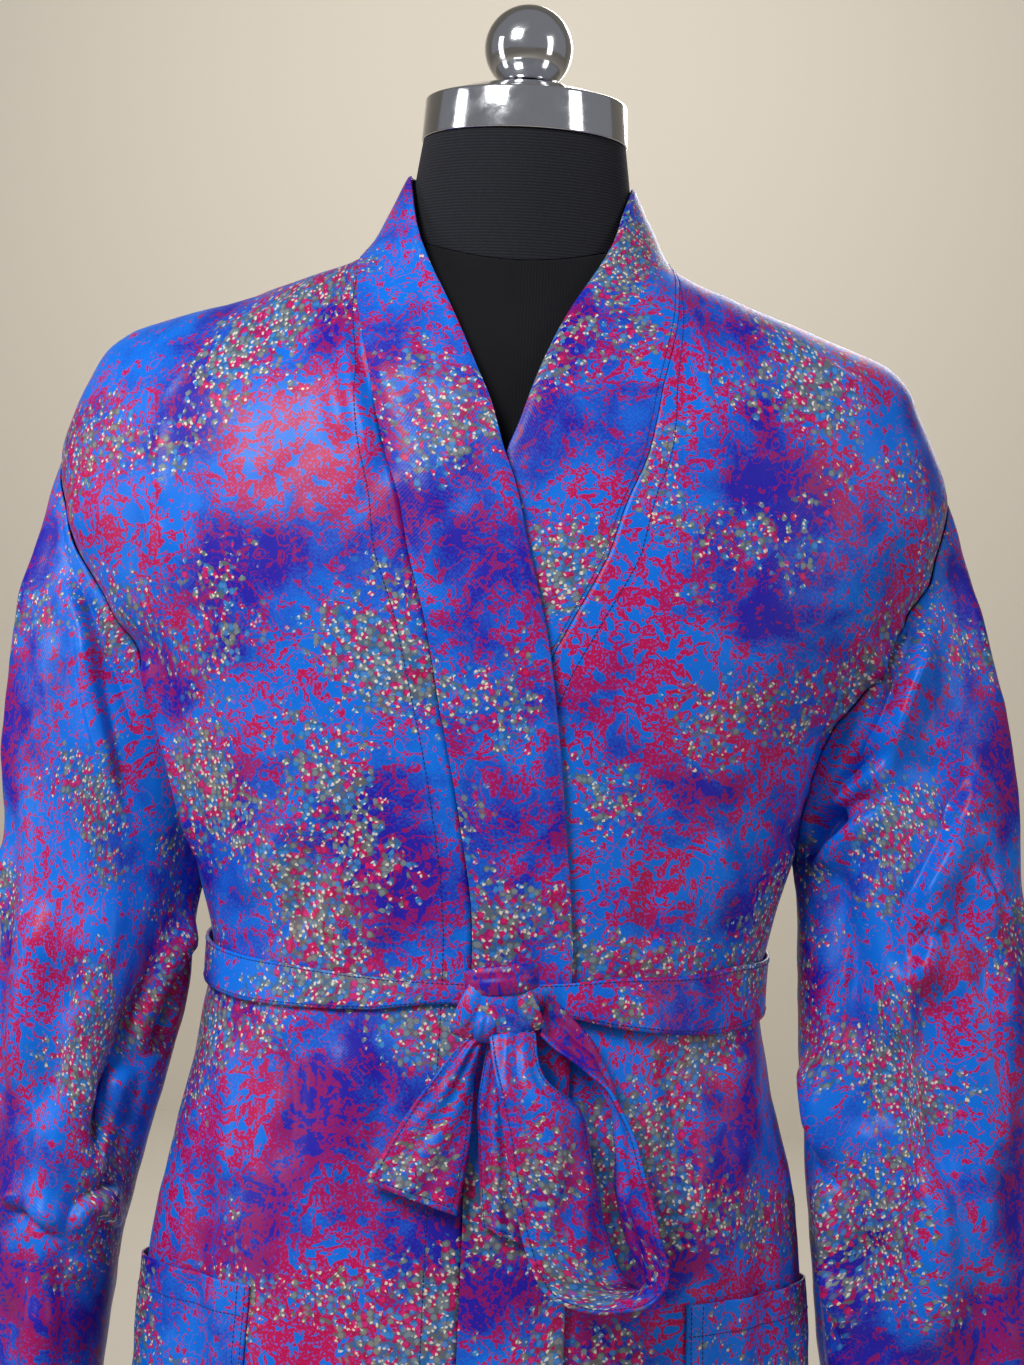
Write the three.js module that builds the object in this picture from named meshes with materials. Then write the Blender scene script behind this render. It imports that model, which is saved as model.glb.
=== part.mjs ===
// A long kimono robe with a sash, worn by a limbless dress form on a pole stand.
// Millimetres, +Z up, +X to the viewer's right, the robe opens towards -Y.
// The origin is the centre of the underside of the stand's base.
// "left" and "right" in names are the wearer's, so right_... lies at negative X.
import * as THREE from "three";

// Cloth and seams
const wall = 1.4; // one layer of cloth, drawn thicker than silk so that it stands as a solid
const bandWall = 1.8; // the neckband is cloth folded double
const sashWall = 2.0; // the sash is cloth folded double
const seamGap = 0.4; // between two pieces that are sewn together
const clothOffset = 0.8; // from the draped surface to the inner face of the cloth
const overlapLift = 4.2; // how far the right front stands off the left front
const hemZ = 150;

// A table, from the names of its columns and a list of values for each row.
const table = (names, rows) => rows.map((row) =>
  Object.fromEntries(names.split(" ").map((name, column) => [name, row[column]])));

// The draped surface. Each row is one ring round the body, from the top of the collar to the hem. right and
// left: how far it reaches to each side, rightZ and leftZ: its height there, front and back: depth, frontZ
// and backZ: height there, square: 2 is an ellipse and more is boxier.
const bodyRings = table("right rightZ left leftZ front frontZ back backZ square", [
  [65, 1525, 65, 1524, 62, 1480, 70, 1546, 2],
  [76, 1500, 76, 1500, 74, 1462, 77, 1518, 2],
  [91, 1477, 90, 1476, 90, 1440, 86, 1488, 2],
  [122, 1462, 121, 1461, 104, 1415, 99, 1460, 2],
  [171, 1443, 171, 1442, 115, 1385, 110, 1430, 2.05],
  [229, 1423, 224, 1420, 122, 1352, 117, 1396, 2.1],
  [251, 1398, 243, 1392, 126, 1322, 120, 1366, 2.15],
  [267, 1346, 260, 1343, 128, 1290, 121, 1330, 2.2],
  [250, 1295, 246, 1292, 129, 1255, 121, 1290, 2.25],
  [217, 1234, 214, 1236, 127, 1214, 119, 1234, 2.3],
  [191, 1165, 189, 1176, 122, 1158, 114, 1166, 2.3],
  [172, 1098, 177, 1128, 116, 1100, 108, 1104, 2.3],
  [164, 1058, 161, 1058, 113, 1058, 105, 1058, 2.3],
  [171, 1000, 167, 1000, 120, 1000, 114, 1000, 2.3],
  [184, 930, 182, 930, 126, 930, 125, 930, 2.3],
  [191, 860, 188, 860, 129, 860, 132, 860, 2.25],
  [196, 770, 194, 770, 131, 770, 136, 770, 2.2],
  [203, 640, 202, 640, 132, 640, 137, 640, 2.15],
  [208, 480, 208, 480, 133, 480, 138, 480, 2.1],
  [214, 310, 214, 310, 135, 310, 140, 310, 2.05],
  [220, hemZ, 220, hemZ, 137, hemZ, 142, hemZ, 2],
]);
const collarTop = 0;
const neckSeam = 2; // the neckband is sewn on at this ring
const armholeTop = 7; // the dropped shoulder, where the sleeve starts
const armholeFoot = 11; // the underarm
const hem = bodyRings.length - 1;

// Soft folds of the draped surface. from and until are ring numbers; at and to are the fold's angles there,
// from 0 at the centre front to 90 at the wearer's left side and 180 at the back. half is its half width in
// degrees and deep its height in mm, negative for a trough. A fold that ends at the hem stays open there.
const bodyFolds = table("at to from until half deep", [
  [40, 34, 12, 20, 11, 6],
  [62, 60, 12, 20, 10, -6],
  [84, 82, 12.5, 20, 11, 8],
  [-34, -28, 12, 20, 10, 5],
  [-56, -52, 12, 20, 10, -7],
  [-78, -76, 12.5, 20, 12, 7],
  [108, 106, 12, 20, 9, -8],
  [128, 126, 12, 20, 10, 10],
  [148, 146, 11.5, 20, 9, -9],
  [168, 166, 12, 20, 11, 11],
  [190, 189, 11.5, 20, 9, -10],
  [209, 211, 12, 20, 10, 10],
  [231, 233, 12, 20, 10, -8],
  [251, 253, 12.5, 20, 9, 7],
  [150, 158, 7, 11.8, 9, -5],
  [205, 200, 7, 11.8, 9, -5],
  [62, 76, 7.4, 10.6, 7, -4],
  [-60, -70, 8, 11.4, 8, -3],
  [60, 48, 2.6, 5.6, 8, -2.5],
]);

// The neckband of each side. seamX, seamZ: where it is sewn to the front; edgeX, edgeZ: its free edge.
const bandRight = table("seamX seamZ edgeX edgeZ", [
  [-92, 1452, -61, 1498],
  [-84, 1410, -40, 1442],
  [-74, 1366, -19, 1396],
  [-60, 1322, -2, 1350],
  [-46, 1268, 17, 1283],
  [-34, 1213, 30, 1222],
  [-21, 1155, 38, 1158],
  [-11, 1100, 44, 1100],
  [-9, 1058, 46, 1058],
  [-8, 920, 50, 920],
  [-9, 500, 52, 500],
  [-9, hemZ, 53, hemZ],
]);
const bandLeft = table("seamX seamZ edgeX edgeZ", [
  [93, 1452, 58, 1498],
  [88, 1411, 35.5, 1449],
  [81, 1374, 17, 1410],
  [70, 1338, 2, 1366],
  [57, 1298, -10, 1326],
  [41, 1266, -23, 1286],
  [20, 1222, -44, 1232],
  [6, 1160, -56, 1162],
  [2, 1100, -60, 1100],
  [1, 1058, -61, 1058],
  [0, 500, -62, 500],
  [0, hemZ, -62, hemZ],
]);
const shoulderTurn = 80; // degrees from the front at which the band leaves the neck seam
const edgeTurn = 78; // the same for the band's free edge
const collarTurn = 82; // and for the last of the collar behind it
const edgeDrop = 0.12; // how far in levels its free edge lies below the collar's top there
const centreGap = 0.15; // degrees from the centre back to a band's end

// Armholes: how far in degrees the seam lies in front of and behind the side at its middle.
const armholeSpread = 15;
const sideSeamBack = 10; // the side seams lie this far behind the sides at the hem

const headShare = 0.2; // the share of a sleeve over which it spreads from the armhole to full rings
const headPuff = 0.15; // how strongly the head of a sleeve stands out

// The sleeves. Each row is one ring round the sleeve. v: share of the length from the armhole, outer and
// inner: the ring's point away from and next to the body, deep: half depth, mid: depth of its centre.
const sleeveRight = table("v outerX outerZ innerX innerZ deep mid", [
  [0, -267, 1345, -172, 1098, 32, 0],
  [0.12, -281, 1284, -179, 1052, 42, -2],
  [0.3, -290, 1196, -187, 1006, 52, -4],
  [0.5, -291, 1080, -202, 945, 57, -4],
  [0.7, -288, 962, -215, 884, 58, -2],
  [0.85, -290, 850, -224, 805, 57, 0],
  [1, -297, 747, -229, 722, 57, 0],
]);
const sleeveLeft = table("v outerX outerZ innerX innerZ deep mid", [
  [0, 261, 1343, 177, 1128, 32, 0],
  [0.12, 280, 1284, 186, 1086, 44, -2],
  [0.3, 301, 1196, 190, 1022, 54, -6],
  [0.5, 320, 1078, 197, 950, 58, -8],
  [0.7, 336, 960, 204, 880, 58, -6],
  [0.85, 346, 850, 214, 806, 55, -4],
  [1, 352, 747, 224, 722, 52, -2],
]);
// Folds of the sleeves: at and to are angles round the sleeve, 0 outside, 90 in front and 180 at the body.
const foldsRight = table("at to from until half deep", [
  [150, 122, 0.06, 0.7, 22, -20],
  [100, 92, 0.12, 1, 18, 5],
  [40, 30, 0.3, 0.8, 16, -5],
  [236, 230, 0.2, 1, 24, -11],
  [300, 306, 0.25, 1, 20, -8],
]);
const foldsLeft = table("at to from until half deep", [
  [136, 122, 0.02, 0.42, 18, -11],
  [150, 148, 0.35, 1, 18, 5],
  [60, 48, 0.2, 0.9, 16, -6],
  [98, 100, 0.1, 0.9, 16, 6],
  [232, 228, 0.2, 1, 24, -14],
  [296, 300, 0.25, 1, 20, -9],
]);

// Patch pockets. Each lies on its front between two columns and two rows of the front's own points.
const pocketGap = 0.5;
const mouthGap = 3.4; // how far a pocket's mouth gapes

// The sash round the waist: its width and the height of its middle at some angles.
const sash = table("at width mid", [
  [0, 13, 1048],
  [12, 19, 1047],
  [24, 30, 1046],
  [42, 36, 1045],
  [58, 38, 1048],
  [86, 35, 1052],
  [140, 40, 1059],
  [180, 40, 1062],
  [220, 37, 1060],
  [272, 27, 1055],
  [300, 26, 1049],
  [320, 25, 1047],
  [341, 19, 1046],
  [352, 13, 1048],
  [360, 13, 1048],
]);
const sashGap = 0.9;
const sashCrown = 0.8; // how far the sash's middle line stands out
const knotSeat = -0.1; // from the sash's curve to the knot; the sash's facets lie 0.4 inside that curve

// Hanging parts of the sash. Each row gives both edges of the ribbon: x, z and out, the distance in front
// of the robe. ridge: the share of the way from a to b at which the ribbon stands highest, and rise: by how
// much.
const bowLoop = table("aX aZ aOut bX bZ bOut ridge rise", [
  [2, 1028.4, 22, 28, 1030.5, 20, 0.5, 3],
  [7, 1005, 34, 33, 1008, 26, 0.6, 3],
  [11, 983, 36, 54, 990, 20, 0.68, 9],
  [16, 957, 36, 63, 957, 18, 0.68, 9],
  [23, 928, 34, 70, 928, 17, 0.72, 6],
  [32, 901, 33, 79, 904, 15, 0.5, 4],
  [47, 885, 33, 88, 892, 11, 0.5, 4],
  [76, 880, 34, 96, 887, 8, 0.5, 3],
  [101, 887, 36, 98, 893, 5, 0.5, 3],
  [108, 904, 38, 90, 908, 4, 0.5, 3],
  [100, 932, 38, 80, 932, 4, 0.5, 3],
  [91, 962, 36, 77, 960, 4, 0.5, 3],
  [79, 992, 32, 76, 990, 4, 0.5, 3],
  [62, 1010, 27, 68, 1015, 4, 0.5, 3],
  [45, 1020, 22, 52, 1036, 5, 0.5, 3],
  [31, 1030, 17, 35, 1052, 6, 0.5, 3],
]);
const tailRight = table("aX aZ aOut bX bZ bOut ridge rise", [
  [-8, 1029.3, 13, 1, 1026.2, 13, 0.5, 2],
  [-14, 1022, 12, -2, 1019, 12, 0.5, 3],
  [-25, 1008, 12, -5, 1002, 9, 0.5, 3],
  [-37, 990, 11, -5, 986, 8, 0.5, 3],
  [-50, 968, 9, -6, 960, 9, 0.5, 3],
  [-63, 944, 8, -11, 928, 10, 0.5, 3],
]);
const tailLeft = table("aX aZ aOut bX bZ bOut ridge rise", [
  [2, 1025, 10, 13, 1025, 10, 0.5, 2],
  [-2, 990, 4, 17, 990, 8, 0.5, 3],
  [0, 957, 4, 21, 957, 7, 0.5, 3],
  [3, 922, 4, 27, 914, 7, 0.5, 3],
]);
const knot = { x: 7, z: 1047, halfWidth: 24, halfDepth: 13, halfHeight: 22 };

// The dress form, in the same kind of rings.
const formRings = table("right rightZ left leftZ front frontZ back backZ square", [
  [69, 1487, 69, 1487, 66, 1470, 68, 1492, 2.0],
  [84, 1474, 84, 1474, 78, 1445, 80, 1482, 2.0],
  [121, 1461, 121, 1461, 98, 1412, 94, 1455, 2.0],
  [170, 1443.2, 170, 1443.2, 110, 1380, 105, 1425, 2.05],
  [219, 1422, 219, 1422, 117, 1350, 111, 1393, 2.15],
  [228, 1402, 228, 1402, 120, 1325, 114, 1366, 2.2],
  [224, 1350, 224, 1350, 122, 1290, 115, 1330, 2.3],
  [205, 1290, 205, 1290, 121, 1250, 114, 1288, 2.3],
  [184, 1232, 184, 1232, 118, 1212, 111, 1232, 2.3],
  [170, 1165, 170, 1165, 112, 1158, 105, 1166, 2.3],
  [160, 1100, 160, 1100, 106, 1100, 99, 1100, 2.3],
  [156, 1058, 156, 1058, 104, 1058, 96, 1058, 2.3],
  [163, 1000, 163, 1000, 108, 1000, 103, 1000, 2.3],
  [170, 930, 170, 930, 112, 930, 110, 930, 2.3],
  [172, 870, 172, 870, 112, 870, 112, 870, 2.3],
  [166, 812, 166, 812, 106, 812, 106, 812, 2.3],
]);
const neckRings = table("right rightZ left leftZ front frontZ back backZ square", [
  [61, 1548, 61, 1548, 60, 1548, 60, 1548, 2.0],
  [64, 1527, 64, 1527, 62, 1524, 62, 1529, 2.0],
  [66.5, 1506, 66.5, 1506, 64, 1498, 65, 1510, 2.0],
  [69, 1487.4, 69, 1487.4, 66, 1470.4, 68, 1492.4, 2.0],
]);
const capRadius = 62;
const capBottom = 1548.4;
const capHeight = 25.5;
const domeRise = 12;
const ballRadius = 26.5;
const ballCentre = 1606.5;
const plateTop = 811.7;
const plateThick = 12;
const plateRadius = 92;
const standGap = 0.3; // between the parts of the stand
const poleRadius = 12.5;
const baseRadius = 205;
const baseThick = 14;
const hubRadius = 30;
const hubHeight = 60;

// How finely the surfaces are drawn. The columns of a front are shares of the way from the neckband to the
// side seam.
const frontShares = [0, 0.09, 0.18, 0.27, 0.36, 0.45, 0.54, 0.63, 0.72, 0.81, 0.905, 1];
const pocketColumns = { from: 4, until: 10 };
const backColumns = 16;
const bandColumns = 3;
const collarColumns = 7;
const armholeRows = 14;
const sleeveRows = [0, 0.04, 0.08, 0.13, 0.2, 0.3, 0.4, 0.5, 0.6, 0.7, 0.8, 0.9, 1];
const shoulderRows = [2, 2.4, 2.8, 3.3, 3.9, 4.5, 5, 5.4, 5.8, 6.2, 6.6];
const upperSkirtRows = [11.5, 12, 12.5, 13.1, 14];
const pocketRows = [14.76, 15.1, 15.5, 16, 16.55];
const lowerSkirtRows = [17.4, 18.6, 20];
const formColumns = 28;
const turnedColumns = 32;

const radians = THREE.MathUtils.degToRad;
const lerp = THREE.MathUtils.lerp;
const smooth = THREE.MathUtils.smoothstep;

// The value of one column of a table at a fractional row, on a smooth curve through the rows.
function sample(rows, column, position) {
  const last = rows.length - 1;
  const at = THREE.MathUtils.clamp(position, 0, last);
  const low = Math.min(Math.floor(at), last - 1);
  const value = (row) => rows[THREE.MathUtils.clamp(row, 0, last)][column];
  const [a, b, c, d] = [value(low - 1), value(low), value(low + 1), value(low + 2)];
  const u = at - low;
  return 0.5 * (2 * b + (c - a) * u + (2 * a - 5 * b + 4 * c - d) * u * u
    + (3 * b - a - 3 * c + d) * u * u * u);
}

// The fractional row at which a rising column of a table has a value.
function rowAt(rows, column, wanted) {
  const last = rows.length - 1;
  const high = rows.findIndex((row) => row[column] >= wanted);
  if (high === 0) return 0;
  if (high < 0) return last;
  const [before, after] = [rows[high - 1][column], rows[high][column]];
  return high - 1 + (wanted - before) / (after - before);
}

// A point of a ring surface: level is the fractional ring and degrees the angle from the centre front.
function ringPoint(rows, level, degrees) {
  const across = Math.sin(radians(degrees));
  const ahead = Math.cos(radians(degrees));
  const power = 2 / sample(rows, "square", level);
  const face = ahead > 0 ? "front" : "back";
  const flank = across < 0 ? "right" : "left";
  const depth = sample(rows, face, level) * Math.abs(ahead) ** power;
  const flankZ = sample(rows, flank + "Z", level);
  const faceZ = sample(rows, face + "Z", level);
  return new THREE.Vector3(
    sample(rows, flank, level) * Math.sign(across) * Math.abs(across) ** power,
    ahead > 0 ? -depth : depth,
    lerp(flankZ, faceZ, ahead * ahead),
  );
}

// The outward direction of a surface given as a function of level and angle.
function normalOf(surface, level, degrees, last) {
  const stepLevel = 0.03;
  const stepAngle = 0.6;
  const low = Math.max(level - stepLevel, 0);
  const high = Math.min(level + stepLevel, last);
  const along = surface(high, degrees).sub(surface(low, degrees));
  const round = surface(level, degrees + stepAngle).sub(surface(level, degrees - stepAngle));
  return along.cross(round).normalize();
}

// The height of a table of folds at a place, with angles counted from 0 to 360 as well as below 0.
function foldHeight(folds, level, degrees, end) {
  let height = 0;
  for (const fold of folds) {
    if (level <= fold.from || level > fold.until) continue;
    const share = (level - fold.from) / (fold.until - fold.from);
    const centre = lerp(fold.at, fold.to, share);
    const away = THREE.MathUtils.euclideanModulo(degrees - centre + 180, 360) - 180;
    if (Math.abs(away) >= fold.half) continue;
    const across = 0.5 + 0.5 * Math.cos((Math.PI * away) / fold.half);
    const fades = fold.until < end ? smooth(1 - share, 0, 0.35) : 1;
    height += fold.deep * across * smooth(share, 0, 0.45) * fades;
  }
  return height;
}

const plainBody = (level, degrees) => ringPoint(bodyRings, level, degrees);

function drapedBody(level, degrees) {
  const point = plainBody(level, degrees);
  const height = foldHeight(bodyFolds, level, degrees, hem);
  return height ? point.addScaledVector(normalOf(plainBody, level, degrees, hem), height) : point;
}

// A point at a distance outside the draped surface.
function onBody(level, degrees, offset) {
  return drapedBody(level, degrees).addScaledVector(normalOf(drapedBody, level, degrees, hem), offset);
}

// The level at which the body has a height, at an angle.
function levelAt(degrees, z) {
  let [low, high] = [0, hem];
  for (let step = 0; step < 40; step++) {
    const middle = (low + high) / 2;
    if (plainBody(middle, degrees).z > z) low = middle;
    else high = middle;
  }
  return (low + high) / 2;
}

// The level and angle of the front at a width and a height.
function locate(x, z) {
  let angle = Math.sign(x) * 30;
  let level = 0;
  for (let step = 0; step < 60; step++) {
    level = levelAt(angle, z);
    const reach = sample(bodyRings, x < 0 ? "right" : "left", level);
    const power = sample(bodyRings, "square", level) / 2;
    const wanted = THREE.MathUtils.clamp(Math.abs(x) / reach, 0, 1) ** power;
    angle = lerp(angle, (Math.sign(x) * Math.asin(wanted) * 180) / Math.PI, 0.5);
  }
  return { level, angle };
}

// A band's table, with its seam and edge given as levels and angles.
function locateBand(rows) {
  const side = Math.sign(rows[0].seamX);
  const located = rows.map((row) => {
    const seam = locate(row.seamX, row.seamZ);
    const edge = locate(row.edgeX, row.edgeZ);
    return { level: seam.level, seam: seam.angle, edge: edge.angle, edgeLevel: edge.level };
  });
  located[located.length - 1].level = hem;
  located[located.length - 1].edgeLevel = hem;
  const start = { level: neckSeam, seam: side * shoulderTurn, edge: side * edgeTurn, edgeLevel: edgeDrop };
  return [start, ...located];
}
const rightBand = locateBand(bandRight);
const leftBand = locateBand(bandLeft);
const bandAt = (band, column, level) => sample(band, column, rowAt(band, "level", level));

// How far the right front is lifted over the left one.
function overlap(level, degrees) {
  return overlapLift * smooth(degrees, -62, -34) * smooth(level, 2.6, 4.4);
}
const rightOffset = (level, degrees) => clothOffset + overlap(level, degrees);
const leftOffset = () => clothOffset;

// The armhole and side seams: degrees in front of or behind the sides.
function armholeSpan(level) {
  const share = (level - armholeTop) / (armholeFoot - armholeTop);
  return share <= 0 || share >= 1 ? 0 : armholeSpread * Math.sin(Math.PI * share) ** 0.8;
}
function sideSeam(level) {
  return 90 + sideSeamBack * smooth(level, armholeFoot, 15);
}
const frontLimit = (level) => sideSeam(level) - armholeSpan(level);
const backLimit = (level) => sideSeam(level) + armholeSpan(level);

// Levels of the armhole, closer together at its ends, so that the sleeve's ring is evenly spaced.
function armholeLevels() {
  const levels = [];
  for (let row = 0; row <= armholeRows; row++) {
    const share = (1 - Math.cos((Math.PI * row) / armholeRows)) / 2;
    levels.push(lerp(armholeTop, armholeFoot, share));
  }
  return levels;
}
const panelLevels = [
  ...shoulderRows, ...armholeLevels(), ...upperSkirtRows, ...pocketRows, ...lowerSkirtRows,
];

// A closed wall between two grids of points. wrap joins the last column to the first.
function shell(inner, outer, wrap = false) {
  const rows = inner.length;
  const columns = inner[0].length;
  const points = [...inner.flat(), ...outer.flat()];
  const index = [];
  const at = (layer, row, column) => layer * rows * columns + row * columns + (column % columns);
  const quad = (a, b, c, d) => index.push(a, b, c, a, c, d);
  const spans = wrap ? columns : columns - 1;
  for (let row = 0; row < rows - 1; row++) {
    for (let column = 0; column < spans; column++) {
      const next = column + 1;
      quad(at(0, row, column), at(0, row, next), at(0, row + 1, next), at(0, row + 1, column));
      quad(at(1, row, column), at(1, row + 1, column), at(1, row + 1, next), at(1, row, next));
    }
  }
  for (let column = 0; column < spans; column++) {
    const next = column + 1;
    quad(at(0, 0, column), at(1, 0, column), at(1, 0, next), at(0, 0, next));
    const end = rows - 1;
    quad(at(0, end, column), at(0, end, next), at(1, end, next), at(1, end, column));
  }
  for (let row = 0; row < rows - 1 && !wrap; row++) {
    const end = columns - 1;
    quad(at(0, row, 0), at(0, row + 1, 0), at(1, row + 1, 0), at(1, row, 0));
    quad(at(0, row, end), at(1, row, end), at(1, row + 1, end), at(0, row + 1, end));
  }
  return solidGeometry(points, index);
}

// A closed body from rings of points, with a fan at each end.
function lofted(rings) {
  const columns = rings[0].length;
  const points = rings.flat();
  const index = [];
  for (let row = 0; row < rings.length - 1; row++) {
    for (let column = 0; column < columns; column++) {
      const next = (column + 1) % columns;
      const [a, b] = [row * columns + column, row * columns + next];
      index.push(a, b, b + columns, a, b + columns, a + columns);
    }
  }
  for (const [ring, turned] of [[0, false], [rings.length - 1, true]]) {
    const centre = rings[ring].reduce((sum, p) => sum.add(p), new THREE.Vector3());
    points.push(centre.divideScalar(columns));
    for (let column = 0; column < columns; column++) {
      const a = ring * columns + column;
      const b = ring * columns + ((column + 1) % columns);
      index.push(points.length - 1, turned ? a : b, turned ? b : a);
    }
  }
  return solidGeometry(points, index);
}

// A geometry whose faces point out, whichever way its points were counted.
function solidGeometry(points, index) {
  let volume = 0;
  for (let i = 0; i < index.length; i += 3) {
    const [a, b, c] = [points[index[i]], points[index[i + 1]], points[index[i + 2]]];
    volume += a.dot(new THREE.Vector3().crossVectors(b, c));
  }
  if (volume < 0) {
    for (let i = 0; i < index.length; i += 3) {
      [index[i + 1], index[i + 2]] = [index[i + 2], index[i + 1]];
    }
  }
  const geometry = new THREE.BufferGeometry().setFromPoints(points);
  geometry.setIndex(index);
  geometry.computeVertexNormals();
  return geometry;
}

// A wall that lies on the draped surface: places is a grid of { level, angle }, offset the inner face.
function wallOn(places, offset, thick, wrap = false) {
  const layer = (extra) => places.map((row) => row.map(({ level, angle }) =>
    onBody(level, angle, offset(level, angle) + extra)));
  return shell(layer(0), layer(thick), wrap);
}

// Degrees that make a gap of a given size at a place on the body.
function gapDegrees(level, degrees, gap) {
  const arc = drapedBody(level, degrees + 1).distanceTo(drapedBody(level, degrees - 1)) / 2;
  return gap / arc;
}

// The places of a front's points at some levels.
function frontPlaces(band, side, levels) {
  return levels.map((level) => {
    const seam = bandAt(band, "seam", level);
    const outer = side * frontLimit(level);
    const first = seam + side * gapDegrees(level, seam, seamGap / 2);
    const last = outer - side * gapDegrees(level, outer, seamGap / 2);
    return frontShares.map((share) => ({ level, angle: lerp(first, last, share) }));
  });
}
const frontPanel = (band, side, offset) => wallOn(frontPlaces(band, side, panelLevels), offset, wall);

function backPanel() {
  const places = panelLevels.map((level) => {
    const first = backLimit(level);
    const gap = gapDegrees(level, first, seamGap / 2);
    return Array.from({ length: backColumns + 1 }, (_, column) => ({
      level: level === neckSeam ? neckSeam + 0.02 : level,
      angle: lerp(first + gap, 360 - first - gap, column / backColumns),
    }));
  });
  return wallOn(places, leftOffset, wall);
}

// The band from the centre back, round the neck and down the front.
function neckband(band, side, offset) {
  const places = [];
  const strip = (seamLevel, seam, edgeLevel, edge) => {
    places.push(Array.from({ length: bandColumns + 1 }, (_, column) => ({
      level: lerp(edgeLevel, seamLevel, column / bandColumns),
      angle: lerp(edge, seam, column / bandColumns),
    })));
  };
  const seamRise = 0.02; // in levels, the gap between the band and the panels along the neck seam
  for (let station = 0; station < collarColumns; station++) {
    const share = station / collarColumns;
    const seam = side * lerp(180 - centreGap, shoulderTurn, share);
    strip(neckSeam - seamRise, seam, collarTop, side * lerp(180 - centreGap, collarTurn, share));
  }
  for (const level of panelLevels) {
    const seam = bandAt(band, "seam", level);
    const inset = side * gapDegrees(level, seam, seamGap / 2);
    const seamLevel = level === neckSeam ? neckSeam - seamRise : level;
    strip(seamLevel, seam - inset, bandAt(band, "edgeLevel", level), bandAt(band, "edge", level));
  }
  return wallOn(places, offset, bandWall);
}

// A place on a sleeve's ring. Degrees go round it: 0 outside, 90 in front and 180 next to the body.
function sleeveRing(rows, folds, side, v, degrees) {
  const at = rowAt(rows, "v", v);
  const value = (column) => sample(rows, column, at);
  const out = (1 + Math.cos(radians(degrees))) / 2;
  const height = foldHeight(folds, v, degrees, 1);
  const deep = value("deep") + height * Math.abs(Math.sin(radians(degrees)));
  return new THREE.Vector3(
    lerp(value("innerX"), value("outerX"), out) + side * height * Math.cos(radians(degrees)),
    value("mid") - deep * Math.sin(radians(degrees)),
    lerp(value("innerZ"), value("outerZ"), out),
  );
}

// The start of a sleeve round its armhole: for each column the point, the way the cloth sets off and its
// outward direction. At the shoulder it goes on flush with the body, and under the arm it turns right back
// along it, so the start steps off the body's face as the turn grows.
function sleeveHead(rows, folds, side) {
  const columns = 2 * armholeRows;
  const levels = armholeLevels();
  const edge = Array.from({ length: columns }, (_, column) => {
    const level = levels[column <= armholeRows ? column : columns - column];
    const ahead = column <= armholeRows ? -armholeSpan(level) : armholeSpan(level);
    const angle = side * (sideSeam(level) + ahead);
    return {
      point: onBody(level, angle, clothOffset + wall / 2),
      out: normalOf(drapedBody, level, angle, hem),
    };
  });
  return edge.map(({ point, out }, column) => {
    const next = edge[(column + 1) % columns].point;
    const before = edge[(column + columns - 1) % columns].point;
    const seam = next.clone().sub(before).normalize();
    const into = out.clone().cross(seam).multiplyScalar(side).normalize();
    const target = sleeveRing(rows, folds, side, headShare, (column * 360) / columns);
    const chord = target.clone().sub(point);
    const turn = Math.max(Math.atan2(chord.dot(out), chord.dot(into)), 0);
    const step = (wall / 2 + seamGap) * Math.sin(Math.min(turn, Math.PI / 2))
      - (wall / 2) * Math.min(Math.cos(turn), 0);
    const normal = out.clone().multiplyScalar(Math.cos(turn)).addScaledVector(into, -Math.sin(turn));
    const start = point.clone().addScaledVector(out, step)
      .addScaledVector(into, (seamGap * (1 + Math.cos(turn))) / 2)
      .addScaledVector(normal, -wall / 2);
    const away = chord.addScaledVector(out, headPuff * chord.length());
    return { start, away, normal };
  });
}

// A sleeve: a smooth curve from the armhole to the first full ring, and rings from the table below it.
function sleeve(rows, folds, side) {
  const columns = 2 * armholeRows;
  const head = sleeveHead(rows, folds, side);
  const ringAt = (v, degrees) => sleeveRing(rows, folds, side, v, degrees);
  const surface = (v, column) => {
    const degrees = (column * 360) / columns;
    if (v >= headShare) return ringAt(v, degrees);
    const u = v / headShare;
    const { start, away } = head[THREE.MathUtils.euclideanModulo(column, columns)];
    const after = ringAt(headShare + 0.01, degrees).sub(ringAt(headShare, degrees));
    return start.clone().multiplyScalar(1 + u * u * (2 * u - 3))
      .addScaledVector(away, u * (1 - u) * (1 - u))
      .addScaledVector(ringAt(headShare, degrees), u * u * (3 - 2 * u))
      .addScaledVector(after, 100 * headShare * u * u * (u - 1));
  };
  const inner = [];
  const outer = [];
  for (const v of sleeveRows) {
    const row = Array.from({ length: columns }, (_, column) => surface(v, column));
    const [above, below] = [Math.max(v - 0.02, 0), Math.min(v + 0.02, 1)];
    inner.push(row);
    outer.push(row.map((point, column) => {
      const along = surface(below, column).sub(surface(above, column));
      const round = surface(v, column + 1).sub(surface(v, column - 1));
      const normal = along.cross(round).normalize().multiplyScalar(-side);
      return point.clone().addScaledVector(v === 0 ? head[column].normal : normal, wall);
    }));
  }
  return shell(inner, outer, true);
}

// A patch pocket, made from the front's own points moved out.
function pocket(band, side, offset) {
  const places = frontPlaces(band, side, pocketRows)
    .map((row) => row.slice(pocketColumns.from, pocketColumns.until + 1));
  const stand = (row, column) => {
    const across = Math.sin((Math.PI * column) / (pocketColumns.until - pocketColumns.from));
    return pocketGap + mouthGap * across * Math.max(0, 1 - row / 2);
  };
  const layer = (extra) => places.map((line, row) => line.map(({ level, angle }, column) =>
    onBody(level, angle, offset(level, angle) + wall + stand(row, column) + extra)));
  return shell(layer(0), layer(wall));
}

// The robe's outermost face at the front.
function outside(level, degrees) {
  const lifted = degrees > 24 ? overlapLift * smooth(-degrees, -60, -24) : overlap(level, degrees);
  return clothOffset + bandWall + lifted;
}

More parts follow.
